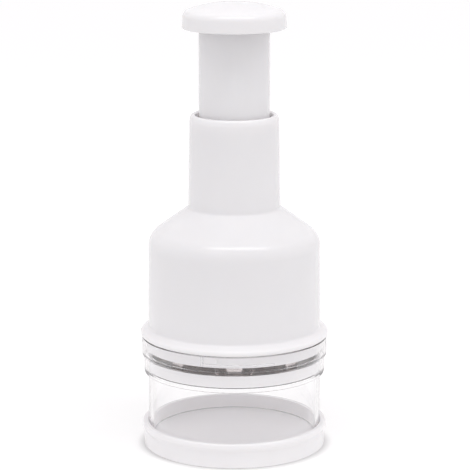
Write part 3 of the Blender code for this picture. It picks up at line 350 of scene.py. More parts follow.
class StageSettings(bpy.types.PropertyGroup):
    """Floor, lights and camera."""

    camera_distance: length("Camera distance", 1.062, "Distance of the camera from the axis")
    camera_height: length("Camera height", 0.335, "Height of the camera")
    camera_side: length("Camera side", 0.33 * MM, "How far right of the axis the camera stands")
    camera_pitch: angle("Camera pitch", math.radians(12.35), "How far the camera looks down")
    lens_share: amount(
        "Lens share", FOCAL_PIXELS / PICTURE_PIXELS, "Focal length in widths of the picture"
    )
    sensor: amount("Sensor", 36.0, "Width of the sensor in millimetres")
    floor_size: length("Floor size", 30.0, "Side of the floor")
    floor: colour("Floor", (0.6, 0.595, 0.595), "Matt floor")
    near_glow: amount("Near glow", 0.46, "What the seen floor gives off next to the chopper")
    floor_glow: amount("Floor glow", 0.54, "What the seen floor gives off further out")
    # Painted shadow: between these distances the seen floor's glow rises from none round the chopper
    shadow_start: length("Shadow start", 40.0 * MM, "Distance at which the near glow starts")
    shadow_reach: length("Shadow reach", 49.0 * MM, "Distance at which the near glow is whole")
    glow_reach: length("Glow reach", 0.5, "Distance at which the whole floor glow is reached")
    table_glow: amount("Table glow", 0.35, "Light of the lit table under the chopper")
    table_start: length("Table start", 112.5 * MM, "Distance at which the lit table starts to fade")
    table_reach: length("Table reach", 0.9, "Distance at which the lit table ends")
    tent: colour("Tent", (1.0, 0.98, 1.0), "Cloth of the light tent")
    horizon: amount("Horizon", 0.99, "Light of the tent at the horizon")
    zenith: amount("Zenith", 0.66, "Light of the tent overhead")
    side_light: amount("Side light", 0.02, "What both sides of the tent add")
    front_dip: amount("Front dip", 0.34, "What the camera's gap in the tent takes away")
    front_focus: amount("Front focus", 4, "How sharply that gap ends")
    softbox: amount("Softbox", 4.8, "Power of the softbox overhead, in watts")
    softbox_place: position("Softbox place", (0.1, -0.35, 1.15), "Where the softbox hangs")
    softbox_width: length("Softbox width", 1.2, "Width of the softbox")
    softbox_depth: length("Softbox depth", 0.25, "Depth of the softbox")


def settings(name):
    """The sizes or looks of this group, as they are set in the scene."""
    return getattr(bpy.context.scene, "chopper_" + name)


# Outlines

def around(radius, turn):
    """The point at this radius and this angle from the front, towards +X."""
    return radius * math.sin(turn), -radius * math.cos(turn)


def oval_arc(centre, radii, start, end, steps):
    """Points on an upright oval, from one angle to another."""
    turns = [start + (end - start) * step / steps for step in range(steps + 1)]
    return [
        (centre[0] + radii[0] * math.cos(turn), centre[1] + radii[1] * math.sin(turn))
        for turn in turns
    ]


def arc(centre, radius, start, end, steps):
    """Points on a circle, from one angle to another."""
    return oval_arc(centre, (radius, radius), start, end, steps)


def disc(radius, centre, steps):
    """Points all round a circle."""
    return arc(centre, radius, 0, FULL_TURN, steps)[:-1]


def unit(start, end):
    """The direction from start to end."""
    reach = math.dist(start, end)
    return (end[0] - start[0]) / reach, (end[1] - start[1]) / reach


def bend(before, corner, after, radius, steps):
    """The arc that rounds this corner."""
    ahead, onward = unit(before, corner), unit(corner, after)
    cross = ahead[0] * onward[1] - ahead[1] * onward[0]
    turn = math.atan2(cross, ahead[0] * onward[0] + ahead[1] * onward[1])
    reach = radius * math.tan(abs(turn) / 2)
    side = math.copysign(radius, turn)
    begin = (corner[0] - ahead[0] * reach, corner[1] - ahead[1] * reach)
    centre = (begin[0] - ahead[1] * side, begin[1] + ahead[0] * side)
    first = math.atan2(begin[1] - centre[1], begin[0] - centre[0])
    return arc(centre, radius, first, first + turn, steps)


def rounded(corners, steps, closed=True):
    """An outline from corners of x, y and rounding. A corner with no rounding stays sharp."""
    points = []
    last = len(corners) - 1
    for index, (x, y, radius) in enumerate(corners):
        at_end = not closed and index in (0, last)
        if at_end or radius == 0:
            points.append((x, y))
            continue
        before, after = corners[index - 1], corners[(index + 1) % len(corners)]
        points += bend(before[:2], (x, y), after[:2], radius, steps)
    return points


def sector(inner, outer, start, span, steps):
    """The outline of a piece of a ring between two angles from the front."""
    turns = [start + span * step / steps for step in range(steps + 1)]
    outside = [around(outer, turn) for turn in turns]
    inside = [around(inner, turn) for turn in reversed(turns)]
    return outside + inside


# Meshes

def as_object(name, shape):
    """Turns a bmesh into an object of the scene."""
    bmesh.ops.recalc_face_normals(shape, faces=shape.faces)
    mesh = bpy.data.meshes.new(name)
    shape.to_mesh(mesh)
    shape.free()
    mesh.shade_smooth()
    obj = bpy.data.objects.new(name, mesh)
    bpy.context.scene.collection.objects.link(obj)
    return obj


def lathe(name, outline, steps):
    """Turns an outline of radii and heights round the axis. It may start and end on the axis."""
    shape = bmesh.new()
    on_axis = outline[0][0] == 0 and outline[-1][0] == 0
    verts = [shape.verts.new((0, -radius, height)) for radius, height in outline]
    pairs = list(zip(verts, verts[1:]))
    if not on_axis:
        pairs.append((verts[-1], verts[0]))
    edges = [shape.edges.new(pair) for pair in pairs]
    bmesh.ops.spin(
        shape,
        geom=verts + edges,
        cent=(0, 0, 0),
        axis=(0, 0, 1),
        angle=FULL_TURN,
        steps=steps,
        use_merge=True,
    )
    bmesh.ops.remove_doubles(shape, verts=shape.verts, dist=SAME_PLACE)
    return as_object(name, shape)


def skin(shape, rings):
    """Joins each ring of verts to the next with a band of quads."""
    for low, high in zip(rings, rings[1:]):
        for index, start in enumerate(low):
            onward = (index + 1) % len(low)
            shape.faces.new((start, low[onward], high[onward], high[index]))


def prism(name, outline, bottom, top):
    """A straight solid over an outline of x and y."""
    shape = bmesh.new()
    low = [shape.verts.new((x, y, bottom)) for x, y in outline]
    high = [shape.verts.new((x, y, top)) for x, y in outline]
    shape.faces.new(low[::-1])
    shape.faces.new(high)
    skin(shape, [low, high])
    return as_object(name, shape)


def loft(name, rings):
    """Skins a run of rings with equal numbers of points, and caps both ends."""
    shape = bmesh.new()
    made = [[shape.verts.new(point) for point in ring] for ring in rings]
    skin(shape, made)
    shape.faces.new(made[0][::-1])
    shape.faces.new(made[-1])
    return as_object(name, shape)


def combine(obj, tools, operation):
    """Joins the tools to the object, or cuts them from it, and removes them."""
    for tool in tools:
        modifier = obj.modifiers.new(tool.name, "BOOLEAN")
        modifier.operation = operation
        modifier.solver = "EXACT"
        modifier.object = tool
    settle(obj)
    for tool in tools:
        bpy.data.objects.remove(tool)
    return obj


def settle(obj):
    """Puts the modified mesh in place of the first one."""
    bpy.context.view_layer.update()
    evaluated = obj.evaluated_get(bpy.context.evaluated_depsgraph_get())
    mesh = bpy.data.meshes.new_from_object(evaluated)
    obj.modifiers.clear()
    obj.data = mesh
    return obj


def soften(obj, limit=CREASE):
    """Smooth shading up to the real edges, with the large faces kept flat."""
    obj.data.set_sharp_from_angle(angle=limit)
    modifier = obj.modifiers.new("Flat faces", "WEIGHTED_NORMAL")
    modifier.keep_sharp = True
    settle(obj)
    return obj


# Finishes

class NodeMath:
    """Math nodes in a material's or a world's tree."""

    def __init__(self, tree):
        self.tree = tree

    def __call__(self, operation, *values):
        made = self.tree.nodes.new("ShaderNodeMath")
        made.operation = operation
        for socket, value in zip(made.inputs, values):
            if isinstance(value, (int, float)):
                socket.default_value = value
            else:
                self.tree.links.new(value, socket)
        return made.outputs["Value"]


class Finish:
    """A procedural material whose tone, roughness and relief follow noise in the piece's space."""

    def __init__(self, name):
        self.material = bpy.data.materials.new("look_" + name)
        self.material.use_nodes = True
        self.tree = self.material.node_tree
        self.shader = self.tree.nodes["Principled BSDF"]
        self.place = self.node("ShaderNodeTexCoord").outputs["Object"]

    def node(self, kind, **values):
        made = self.tree.nodes.new(kind)
        for key, value in values.items():
            setattr(made, key, value)
        return made

    def link(self, source, target):
        self.tree.links.new(source, target)

    def noise(self, per_metre, detail=3.0, packed=(1, 1, 1)):
        """Noise with this many features to the metre, packed closer or wider along each axis."""
        mapping = self.node("ShaderNodeMapping")
        mapping.inputs["Scale"].default_value = [per_metre * part for part in packed]
        texture = self.node("ShaderNodeTexNoise")
        texture.inputs["Scale"].default_value = 1
        texture.inputs["Detail"].default_value = detail
        self.link(self.place, mapping.inputs["Vector"])
        self.link(mapping.outputs["Vector"], texture.inputs["Vector"])
        return texture.outputs["Fac"]

    def spread(self, value, low=0, high=1, start=0.3, end=0.7):
        """Maps noise, which lies round its middle, onto the range from low to high."""
        made = self.node("ShaderNodeMapRange")
        made.inputs["From Min"].default_value = start
        made.inputs["From Max"].default_value = end
        made.inputs["To Min"].default_value = low
        made.inputs["To Max"].default_value = high
        self.link(value, made.inputs["Value"])
        return made.outputs["Result"]

    def tones(self, value, light, dark):
        """Colours the surface dark where the value is 0 and light where it is 1."""
        mix = self.node("ShaderNodeMix", data_type="RGBA")
        mix.inputs["A"].default_value = (*dark, 1)
        mix.inputs["B"].default_value = (*light, 1)
        self.link(value, mix.inputs["Factor"])
        self.link(mix.outputs["Result"], self.shader.inputs["Base Color"])

    def blend(self, first, second, part):
        """Mixes this part of the second value into the first."""
        mix = self.node("ShaderNodeMix", data_type="FLOAT")
        mix.inputs["Factor"].default_value = part
        self.link(first, mix.inputs["A"])
        self.link(second, mix.inputs["B"])
        return mix.outputs["Result"]

    def relief(self, height, depth):
        bump = self.node("ShaderNodeBump")
        bump.inputs["Strength"].default_value = 1
        bump.inputs["Distance"].default_value = depth
        self.link(height, bump.inputs["Height"])
        self.link(bump.outputs["Normal"], self.shader.inputs["Normal"])

    def rough(self, value, middle, swing):
        spread = self.spread(value, middle - swing, middle + swing)
        self.link(spread, self.shader.inputs["Roughness"])

    def values(self, **sockets):
        for name, value in sockets.items():
            self.shader.inputs[name.replace("_", " ")].default_value = value


def moulded(name, light, dark, roughness):
    """Moulded plastic: clouds of tone, a fine grain, and the faint waves that moulding leaves."""
    look = settings("finishes")
    finish = Finish(name)
    clouds = finish.noise(per_metre=28)
    grain = finish.noise(per_metre=2600, detail=2)
    waves = finish.noise(per_metre=90, detail=1)
    finish.tones(finish.spread(finish.blend(clouds, grain, part=0.25)), light, dark)
    finish.rough(finish.blend(clouds, grain, part=0.5), roughness, swing=0.04)
    finish.relief(finish.blend(waves, grain, part=0.35), look.mould_relief)
    finish.values(
        IOR=look.plastic_ior,
        Subsurface_Weight=look.scatter,
        Subsurface_Radius=look.scatter_tint,
        Subsurface_Scale=look.scatter_reach,
    )
    return finish.material


def white_plastic():
    look = settings("finishes")
    return moulded("white_plastic", look.white, look.white_shade, look.plastic_roughness)


def milky_plastic():
    look = settings("finishes")
    return moulded("milky_plastic", look.milky, look.milky_shade, look.inner_roughness)


def clear_moulding(name, light, dark):
    """Clear plastic with faint flow lines round it, which lets the light in on what it holds."""
    look = settings("finishes")
    finish = Finish(name)
    flow = finish.noise(per_metre=120, detail=2, packed=(0.4, 0.4, 1))
    grain = finish.noise(per_metre=1800, detail=2)
    # Painted shade: the tone darkens where the surface is seen edge-on, with a little of the flow
    # lines mixed in
    facing = finish.node("ShaderNodeLayerWeight").outputs["Facing"]
    painted_edge_shade_mask = finish.blend(facing, flow, look.flow_share)
    finish.tones(finish.spread(painted_edge_shade_mask, 1, 0, look.edge_start, look.edge_end), light, dark)
    finish.rough(grain, look.clear_roughness, swing=0.012)
    finish.relief(flow, look.flow_relief)
    finish.values(IOR=look.clear_ior, Transmission_Weight=1)
    calculate = NodeMath(finish.tree)
    path = finish.node("ShaderNodeLightPath")
    lit = calculate("MAXIMUM", path.outputs["Is Shadow Ray"], path.outputs["Is Diffuse Ray"])
    finish.link(calculate("SUBTRACT", 1, lit), finish.shader.inputs["Alpha"])
    return finish.material


def clear_plastic():
    look = settings("finishes")
    return clear_moulding("clear_plastic", look.clear, look.painted_edge_shade)


def clear_corner():
    """The rounded corners of the clear plastic, tinted dark: painted shade for the dark lines that
    their bending of the light gives.
    """
    look = settings("finishes")
    return clear_moulding("clear_corner", look.clear_corner, look.painted_corner_edge_shade)


def rolled_steel():
    """Blade strip with the fine lines that rolling leaves along it."""
    look = settings("finishes")
    finish = Finish("blade_steel")
    lines = finish.noise(per_metre=60, detail=4, packed=(1, 1, 60))
    clouds = finish.noise(per_metre=140, detail=2)
    tone = finish.spread(finish.blend(lines, clouds, part=0.5))
    finish.tones(tone, look.blade, look.blade_shade)
    finish.rough(lines, look.steel_roughness, swing=0.08)
    finish.relief(lines, look.steel_relief)
    finish.values(Metallic=1)
    return finish.material


def turned_steel():
    """Bar steel with fine turning marks round it."""
    look = settings("finishes")
    finish = Finish("turned_steel")
    marks = finish.noise(per_metre=100, detail=3, packed=(1, 1, 40))
    clouds = finish.noise(per_metre=400, detail=2)
    tone = finish.spread(finish.blend(marks, clouds, part=0.4))
    finish.tones(tone, look.steel, look.steel_shade)
    finish.rough(marks, look.steel_roughness, swing=0.06)
    finish.relief(marks, look.steel_relief)
    finish.values(Metallic=1)
    return finish.material


def spring_wire():
    """Drawn wire, a little darker in patches where it was tempered."""
    look = settings("finishes")
    finish = Finish("spring_wire")
    patches = finish.noise(per_metre=220, detail=3)
    grain = finish.noise(per_metre=3000, detail=2)
    finish.tones(finish.spread(patches), look.steel, look.steel_shade)
    finish.rough(grain, look.wire_roughness, swing=0.06)
    finish.relief(grain, look.wire_relief)
    finish.values(Metallic=1)
    return finish.material


MAKERS = {
    "white_plastic": white_plastic,
    "milky_plastic": milky_plastic,
    "clear_plastic": clear_plastic,
    "clear_corner": clear_corner,
    "blade_steel": rolled_steel,
    "turned_steel": turned_steel,
    "spring_wire": spring_wire,
}


def material(name):
    """The material of this finish, made when it is first asked for, apart from the frame's own."""
    return bpy.data.materials.get("look_" + name) or MAKERS[name]()


def dress(obj, finish):
    obj.data.materials.clear()
    obj.data.materials.append(material(finish))


def seat(obj, body, slot, finish, *nodes):
    """Finishes a new piece, and puts it on its body in place of the CAD nodes."""
    dress(obj, finish)
    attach(obj, body)
    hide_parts(*nodes)


# Pieces

def base_outline():
    size, shapes = settings("base_cap"), settings("shapes")
    fine, soft = shapes.fine_edge, shapes.soft_edge
    bore = settings("cup").radius + shapes.gap
    wall_r = bore + size.wall
    bead_r = wall_r + size.bead
    top = BASE_HIGH.z
    bead_bottom = top - size.bead_height
    floor_top = size.recess + size.floor
    foot_bore = wall_r - size.foot_width
    return [
        (0, floor_top, 0),
        (bore, floor_top, fine),
        (bore, top, soft),
        (bead_r, top, size.bead_round),
        (bead_r, bead_bottom + size.bead, size.bead_blend),
        (wall_r, bead_bottom - size.bead, size.bead_blend),
        (wall_r, 0, size.foot_round),
        (foot_bore, 0, soft),
        (foot_bore, size.recess, soft),
        (0, size.recess, 0),
    ]


class CHOPPER_OT_base_cap(bpy.types.Operator):
    """Make the base cap with its bead and foot ring."""

    bl_idname = "chopper.base_cap"
    bl_label = "Base cap"

    def execute(self, context):
        shapes = settings("shapes")
        outline = rounded(base_outline(), shapes.round_steps, closed=False)
        made = lathe("base_moulding", outline, shapes.lathe_steps)
        seat(soften(made), "base", "white_plastic", "white_plastic", "base_cap")
        return {"FINISHED"}


def cup_outline():
    size, shapes = settings("cup"), settings("shapes")
    fine, soft = shapes.fine_edge, shapes.soft_edge
    bottom, top = CUP_LOW.z, CUP_HIGH.z
    bore = size.radius - size.wall
    seat_under = bottom + size.body_length
    seat_top = seat_under + size.ledge
    seat_bore = size.radius + size.seat_step
    seat_r = seat_bore + size.seat_wall
    collar_under = seat_under + size.seat_length
    collar_ledge = collar_under + size.collar_ledge
    collar_bore = seat_bore + size.collar_step
    collar_r = CUP_HIGH.x
    return [
        (collar_r, top, soft),
        (collar_r, collar_under, soft),
        (seat_r, collar_under, fine),
        (seat_r, seat_under, soft),
        (size.radius, seat_under, fine),
        (size.radius, bottom, fine),
        (bore, bottom, fine),
        (bore, seat_top, fine),
        (seat_bore, seat_top, fine),
        (seat_bore, collar_ledge, fine),
        (collar_bore, collar_ledge, fine),
        (collar_bore, top, soft),
    ]


def lug_heights():
    """Where the bayonet's lugs start and end."""
    size = settings("housing")
    bottom = HOUSING_LOW.z + size.lug_rise
    return bottom, bottom + size.lug_height


def skirt_radius():
    """The skirt's outer radius, which leaves room for its lugs in the cup's collar."""
    cup, housing, shapes = settings("cup"), settings("housing"), settings("shapes")
    return cup.radius + cup.seat_step + cup.collar_step - shapes.gap - housing.lug_proud


def cup_rails():
    """The rails on the collar's bore that the lugs stand on, each with its stop."""
    size, housing, shapes = settings("cup"), settings("housing"), settings("shapes")
    skirt_r = skirt_radius()
    inner = skirt_r + shapes.gap
    outer = skirt_r + housing.lug_proud + shapes.gap + shapes.overrun / 2
    lug_bottom, lug_top = lug_heights()
    top = lug_bottom - shapes.gap
    bottom = top - size.rail_height
    rails = []
    for index in range(housing.lugs):
        rest = housing.lug_start - shapes.gap / skirt_r + FULL_TURN * index / housing.lugs
        root = rest - size.stop_span / 2
        rail = sector(inner, outer, root, rest + size.rail_span - root, size.rail_steps)
        stop = sector(inner, outer, rest - size.stop_span, size.stop_span, 1)
        rails.append(prism(f"rail_{index}", rail, bottom, top))
        rails.append(prism(f"stop_{index}", stop, bottom, lug_top))
    return rails


def finish_corners(cup):
    """Gives the rounded corners round the outside of the seat and the collar their own finish, the
    dark clear plastic of painted shade.
    """
    size = settings("cup")
    cup.data.materials.append(material("clear_corner"))
    body_r = size.radius + settings("shapes").soft_edge
    for face in cup.data.polygons:
        sloped = size.corner_lean < abs(face.normal.z) < 1 - size.corner_lean
        outward = face.normal.xy.dot(face.center.xy) > 0
        face.material_index = int(sloped and outward and face.center.xy.length > body_r)


class CHOPPER_OT_cup(bpy.types.Operator):
    """Make the clear cup with its seat, collar and bayonet rails."""

    bl_idname = "chopper.cup"
    bl_label = "Clear cup"

    def execute(self, context):
        shapes = settings("shapes")
        made = lathe("cup_moulding", rounded(cup_outline(), shapes.round_steps), shapes.lathe_steps)
        combine(made, cup_rails(), "UNION")
        seat(soften(made), "cup", "clear_plastic", "clear_plastic", "cup")
        finish_corners(made)
        return {"FINISHED"}


def neck_foot():
    """Radius and height of the corner in which the shoulder's cone meets the neck."""
    size, shapes = settings("housing"), settings("shapes")
    radius = BUSH_HIGH.x + shapes.gap + size.neck_wall + size.neck_draft
    return radius, HOUSING_LOW.z + size.skirt_drop + size.bell_height


def shoulder_height(radius, depth):
    """The height of the shoulder's cone at this radius, and this deep under its outer face."""
    slope = settings("housing").shoulder_slope
    foot_r, foot = neck_foot()
    return foot - (radius - foot_r) * math.tan(slope) - depth / math.cos(slope)


def housing_outline():
    """The housing's outline: down its outside from the neck's rim, and back up its inside."""
    size, shapes = settings("housing"), settings("shapes")
    steps, few = size.arc_steps, shapes.round_steps
    fine, soft = shapes.fine_edge, shapes.soft_edge
    low, top = HOUSING_LOW.z, HOUSING_HIGH.z
    skirt_r, lip_r = skirt_radius(), HOUSING_HIGH.x
    skirt_bore = skirt_r - size.skirt_wall
    bell_r = skirt_r - size.bell_inset
    lip_under = low + size.skirt_drop
    neck_bore = BUSH_HIGH.x + shapes.gap
    ledge = BUSH_HIGH.z + shapes.gap
    foot_r, foot = neck_foot()

    rim_crest = (neck_bore + size.neck_wall - size.rim_width, top - size.rim_height)
    rim = oval_arc(rim_crest, (size.rim_width, size.rim_height), QUARTER, 0, steps)
    inner_round = size.rim_inner_round
    inner_crest = (size.rim_bore + inner_round, top - inner_round)
    inner_rim = arc(inner_crest, inner_round, math.pi, QUARTER, few)

    slope, shoulder_round = size.shoulder_slope, size.shoulder_round
    corner_r = bell_r - size.bell_draft - shoulder_round
    rise = (corner_r - foot_r) * math.sin(slope) + shoulder_round
    corner = (corner_r, foot - rise / math.cos(slope))
    shoulder = arc(corner, shoulder_round, QUARTER - slope, 0, steps)
    under_shoulder = arc(corner, shoulder_round - size.wall, 0, QUARTER - slope, steps)

    lip_centre = (lip_r - size.lip_round, lip_under + size.lip_side)
    lip = arc(lip_centre, size.lip_round, QUARTER - size.lip_slope, 0, steps)
    lip_top = lip[0][1] + (lip[0][0] - bell_r) * math.tan(size.lip_slope)
    edge_centre = (lip_r - size.lip_edge, lip_under + size.lip_edge)
    lip_edge = arc(edge_centre, size.lip_edge, 0, -QUARTER, few)

    skirt = rounded(
        [
            (skirt_r, lip_under, 0),
            (skirt_r, low, fine),
            (skirt_bore, low, fine),
            (skirt_bore, lip_under, fine),
            (bell_r - size.wall, lip_top, soft),
            (*under_shoulder[0], 0),
        ],
        few,
        closed=False,
    )
    return [
        *rim,
        *bend(rim[-1], (foot_r, foot), shoulder[0], size.neck_foot_fillet, few),
        *shoulder,
        *bend(shoulder[-1], (bell_r, lip_top), lip[0], size.lip_foot, few),
        *lip,
        *lip_edge,
        *skirt[:-1],
        *under_shoulder,
        (neck_bore, shoulder_height(neck_bore, size.wall)),
        (neck_bore, ledge),
        (size.rim_bore, ledge),
        *inner_rim,
    ]


def housing_lugs():
    """The lugs round the skirt. The first one shows through the collar at the front."""
    size, shapes = settings("housing"), settings("shapes")
    skirt_r = skirt_radius()
    inner, outer = skirt_r - shapes.overrun / 2, skirt_r + size.lug_proud
    low, high = lug_heights()
    lugs = []
    for index in range(size.lugs):
        start = size.lug_start + FULL_TURN * index / size.lugs
        outline = sector(inner, outer, start, size.lug_span, size.lug_steps)
        lug = prism(f"lug_{index}", outline, low, high)
        bevel = lug.modifiers.new("Corners", "BEVEL")
        bevel.width = size.lug_edge
        bevel.segments = 2
        bevel.limit_method = "ANGLE"
        bevel.angle_limit = QUARTER / 2
        lugs.append(settle(lug))
    return lugs


def housing_bosses():
    """Bosses that end in the middle of the shoulder's wall, and the drills for their holes."""
    size, shapes, housing = settings("boss"), settings("shapes"), settings("housing")
    top = neck_foot()[1]
    foot = CARRIER_LOW.z + size.carrier_plate + shapes.gap
    bosses, drills = [], []
    for index in range(size.count):
        centre = around(size.circle, FULL_TURN * index / size.count)
        boss = prism(f"boss_{index}", disc(size.radius, centre, size.steps), foot, top)
        for vert in boss.data.vertices:
            if vert.co.z > (foot + top) / 2:
                vert.co.z = shoulder_height(math.hypot(vert.co.x, vert.co.y), housing.wall / 2)
        bosses.append(boss)
        bore = disc(size.bore, centre, size.steps)
        drills.append(prism(f"drill_{index}", bore, foot - shapes.gap, foot + size.depth))
    return bosses, drills


class CHOPPER_OT_housing(bpy.types.Operator):
    """Make the housing with its bayonet lugs and screw bosses."""

    bl_idname = "chopper.housing"
    bl_label = "Housing"

    def execute(self, context):
        made = lathe("housing_moulding", housing_outline(), settings("shapes").lathe_steps)
        bosses, drills = housing_bosses()
        combine(made, bosses + housing_lugs(), "UNION")
        combine(made, drills, "DIFFERENCE")
        seat(soften(made), "housing", "white_plastic", "white_plastic", "housing_shell")
        return {"FINISHED"}


def knob_bottom():
    """The height of the knob's lower edge."""
    return KNOB_HIGH.z - settings("plunger").knob_height


def dome_ball():
    """The radius of the ball that the knob's dome is a cap of."""
    size = settings("plunger")
    knob_r = KNOB_HIGH.x - size.knob_draft
    return (knob_r**2 + size.knob_dome**2) / (2 * size.knob_dome)


def dome_height(radius, depth):
    """The height of the dome at this radius, and this deep under its outer face."""
    ball = dome_ball()
    return KNOB_HIGH.z - ball + math.sqrt((ball - depth) ** 2 - radius**2)


def knob_outline():
    """The knob's outline, from the top of its dome down its side and round its plug."""
    size, shapes = settings("plunger"), settings("shapes")
    few, steps = shapes.round_steps, size.dome_steps
    fine, soft = shapes.fine_edge, shapes.soft_edge
    foot_r, bottom = KNOB_HIGH.x, knob_bottom()
    ball = dome_ball()
    dome_centre = (0, KNOB_HIGH.z - ball)
    corner_r = foot_r - size.knob_draft - size.knob_round
    corner = (corner_r, dome_height(corner_r, size.knob_round))
    dome_end = math.atan2(corner[1] - dome_centre[1], corner_r)
    edge = (foot_r - size.knob_edge, bottom + size.knob_edge)
    inside = arc(corner, size.knob_round - size.knob_wall, 0, dome_end, few)
    plug_r = size.radius - size.wall - shapes.gap
    plug_bore = plug_r - size.plug_wall
    plug = rounded(
        [
            (*inside[-1], 0),
            (plug_r, dome_height(plug_r, size.knob_wall), soft),
            (plug_r, KNOB_LOW.z, fine),
            (plug_bore, KNOB_LOW.z, fine),
            (plug_bore, dome_height(plug_bore, size.knob_wall), soft),
            (0, KNOB_HIGH.z - size.knob_wall, 0),
        ],
        few,
        closed=False,
    )
    return [
        (0, KNOB_HIGH.z),
        *arc(dome_centre, ball, QUARTER, dome_end, steps)[1:-1],
        *arc(corner, size.knob_round, dome_end, 0, steps // 2),
        *arc(edge, size.knob_edge, 0, -QUARTER, few),
        (foot_r - size.knob_wall, bottom),
        *inside,
        *plug[1:],
    ]


class CHOPPER_OT_plunger(bpy.types.Operator):
    """Make the plunger tube with its stop flange and inner web."""

    bl_idname = "chopper.plunger"
    bl_label = "Plunger tube"

    def execute(self, context):
        size, shapes = settings("plunger"), settings("shapes")
        fine = shapes.fine_edge
        bore = size.radius - size.wall
        flange_top = TUBE_LOW.z + size.flange
        web_bottom = knob_bottom() - size.web_drop
        web_top = web_bottom + size.web
        top = TUBE_HIGH.z
        corners = [
            (size.radius, top, fine),
            (size.radius, flange_top, fine),
            (TUBE_HIGH.x, flange_top, fine),
            (TUBE_HIGH.x, TUBE_LOW.z, shapes.soft_edge),
            (bore, TUBE_LOW.z, fine),
            (bore, web_bottom, fine),
            (size.web_hole, web_bottom, fine),
            (size.web_hole, web_top, fine),
            (bore, web_top, fine),
            (bore, top, fine),
        ]
        made = lathe("plunger_moulding", rounded(corners, shapes.round_steps), shapes.lathe_steps)
        seat(soften(made), "plunger", "white_plastic", "white_plastic", "plunger_tube")
        return {"FINISHED"}


class CHOPPER_OT_knob(bpy.types.Operator):
    """Make the domed knob with the plug that holds it in the tube."""

    bl_idname = "chopper.knob"
    bl_label = "Knob"

    def execute(self, context):
        made = lathe("knob_moulding", knob_outline(), settings("shapes").lathe_steps)
        seat(soften(made), "plunger", "white_plastic", "white_plastic", "knob_cap")
        return {"FINISHED"}


# Blades

ENDS = (("front", 1), ("back", -1))


def blade_path(side):
    """The middle line of a strip in plan: three flat noses, with two folds between them.

    The back strip, on side -1, is the front one turned half round.
    """
    size = settings("blades")
    corners = [(-size.end_x, -size.end_y)]
    for nose in (-1, 0, 1):
        turn = nose * size.pitch
        x, y = around(size.nose_radius, turn)
        for hand in (-1, 1):
            reach = hand * size.nose_width / 2
            corners.append((x + reach * math.cos(turn), y + reach * math.sin(turn)))
        if nose < 1:
            corners.append(around(size.nose_radius - size.fold_depth, turn + size.pitch / 2))
    corners.append((size.end_x, -size.end_y))
    path = [corners[0]]
    for before, corner, after in zip(corners, corners[1:], corners[2:]):
        path += bend(before, corner, after, size.bend, size.bend_steps)
    path.append(corners[-1])
    return [(side * x, side * y) for x, y in path]


def ribbon(path, width, extra=0):
    """The outline of a strip of this width along the path, longer by the extra at both ends."""
    first, last = unit(path[1], path[0]), unit(path[-2], path[-1])
    start = (path[0][0] + first[0] * extra, path[0][1] + first[1] * extra)
    end = (path[-1][0] + last[0] * extra, path[-1][1] + last[1] * extra)
    points = [start, *path[1:-1], end]
    left, right = [], []
    for index, (x, y) in enumerate(points):
        before, after = max(index, 1), min(index, len(points) - 2)
        ahead = unit(points[before - 1], points[before])
        onward = unit(points[after], points[after + 1])
        across = (-ahead[1] - onward[1], ahead[0] + onward[0])
        stretch = width / (across[0] ** 2 + across[1] ** 2)
        left.append((x + across[0] * stretch, y + across[1] * stretch))
        right.append((x - across[0] * stretch, y - across[1] * stretch))
    return left + right[::-1]


def blade_strip(name, side):
    """A folded strip with a ground edge, closed at its top and its edge with quads across it."""
    size = settings("blades")
    path = blade_path(side)
    ground_top = BLADE_LOW.z + size.ground
    shape = bmesh.new()
    rings = []
    for width, height in (
        (size.edge, BLADE_LOW.z),
        (size.thickness, ground_top),
        (size.thickness, BLADE_HIGH.z),
    ):
        rings.append([shape.verts.new((x, y, height)) for x, y in ribbon(path, width)])
    skin(shape, rings)
    for ring in (rings[0], rings[-1]):
        pairs = list(zip(ring, reversed(ring)))[: len(ring) // 2]
        for (left, right), (next_left, next_right) in zip(pairs, pairs[1:]):
            shape.faces.new((left, next_left, next_right, right))
    return soften(as_object(name, shape), BLADE_CREASE)


class CHOPPER_OT_blades(bpy.types.Operator):
    """Make both folded blade strips with their ground edges."""

    bl_idname = "chopper.blades"
    bl_label = "Blades"

    def execute(self, context):
        for end, side in ENDS:
            made = blade_strip(f"blade_strip_{end}", side)
            seat(made, "blade", "steel", "blade_steel", f"blade_{end}")
        return {"FINISHED"}


def blade_slots(name, clearance, bottom, top):
    """Cutters for both blade strips, with this clearance all round."""
    width = settings("blades").thickness + 2 * clearance
    return [
        prism(f"{name}_slot_{end}", ribbon(blade_path(side), width, clearance), bottom, top)
        for end, side in ENDS
    ]


class CHOPPER_OT_holder(bpy.types.Operator):
    """Make the blade holder with its slots, its hub and its screw recess."""

    bl_idname = "chopper.holder"
    bl_label = "Blade holder"

    def execute(self, context):
        size, shapes, steel = settings("holder"), settings("shapes"), settings("steel")
        fine, soft = shapes.fine_edge, shapes.soft_edge
        low, top, rim = HOLDER_LOW.z, HOLDER_HIGH.z, HOLDER_HIGH.x
        disc_top = low + size.disc
        hub_r = steel.shaft_side / math.sqrt(2) + shapes.gap + size.hub_wall
        web_top = SHAFT_LOW.z - shapes.gap
        web_bottom = web_top - size.screw_web
        corners = [
            (size.screw_bore, top, fine),
            (hub_r, top, soft),
            (hub_r, disc_top, size.hub_fillet),
            (rim, disc_top, soft),
            (rim, low, soft),
            (size.screw_recess, low, fine),
            (size.screw_recess, web_bottom, fine),
            (size.screw_bore, web_bottom, fine),
        ]
        made = lathe("holder_moulding", rounded(corners, shapes.round_steps), shapes.lathe_steps)
        socket_side = steel.shaft_side + 2 * shapes.gap
        socket = square_section(socket_side, steel.shaft_corner, shapes.round_steps)
        tools = [prism("holder_socket", socket, web_top, top + shapes.overrun)]
        tools += blade_slots("holder", shapes.gap, low - shapes.overrun, BLADE_HIGH.z + shapes.gap)
        combine(made, tools, "DIFFERENCE")
        seat(soften(made), "blade", "milky_plastic", "milky_plastic", "blade_holder")
        return {"FINISHED"}


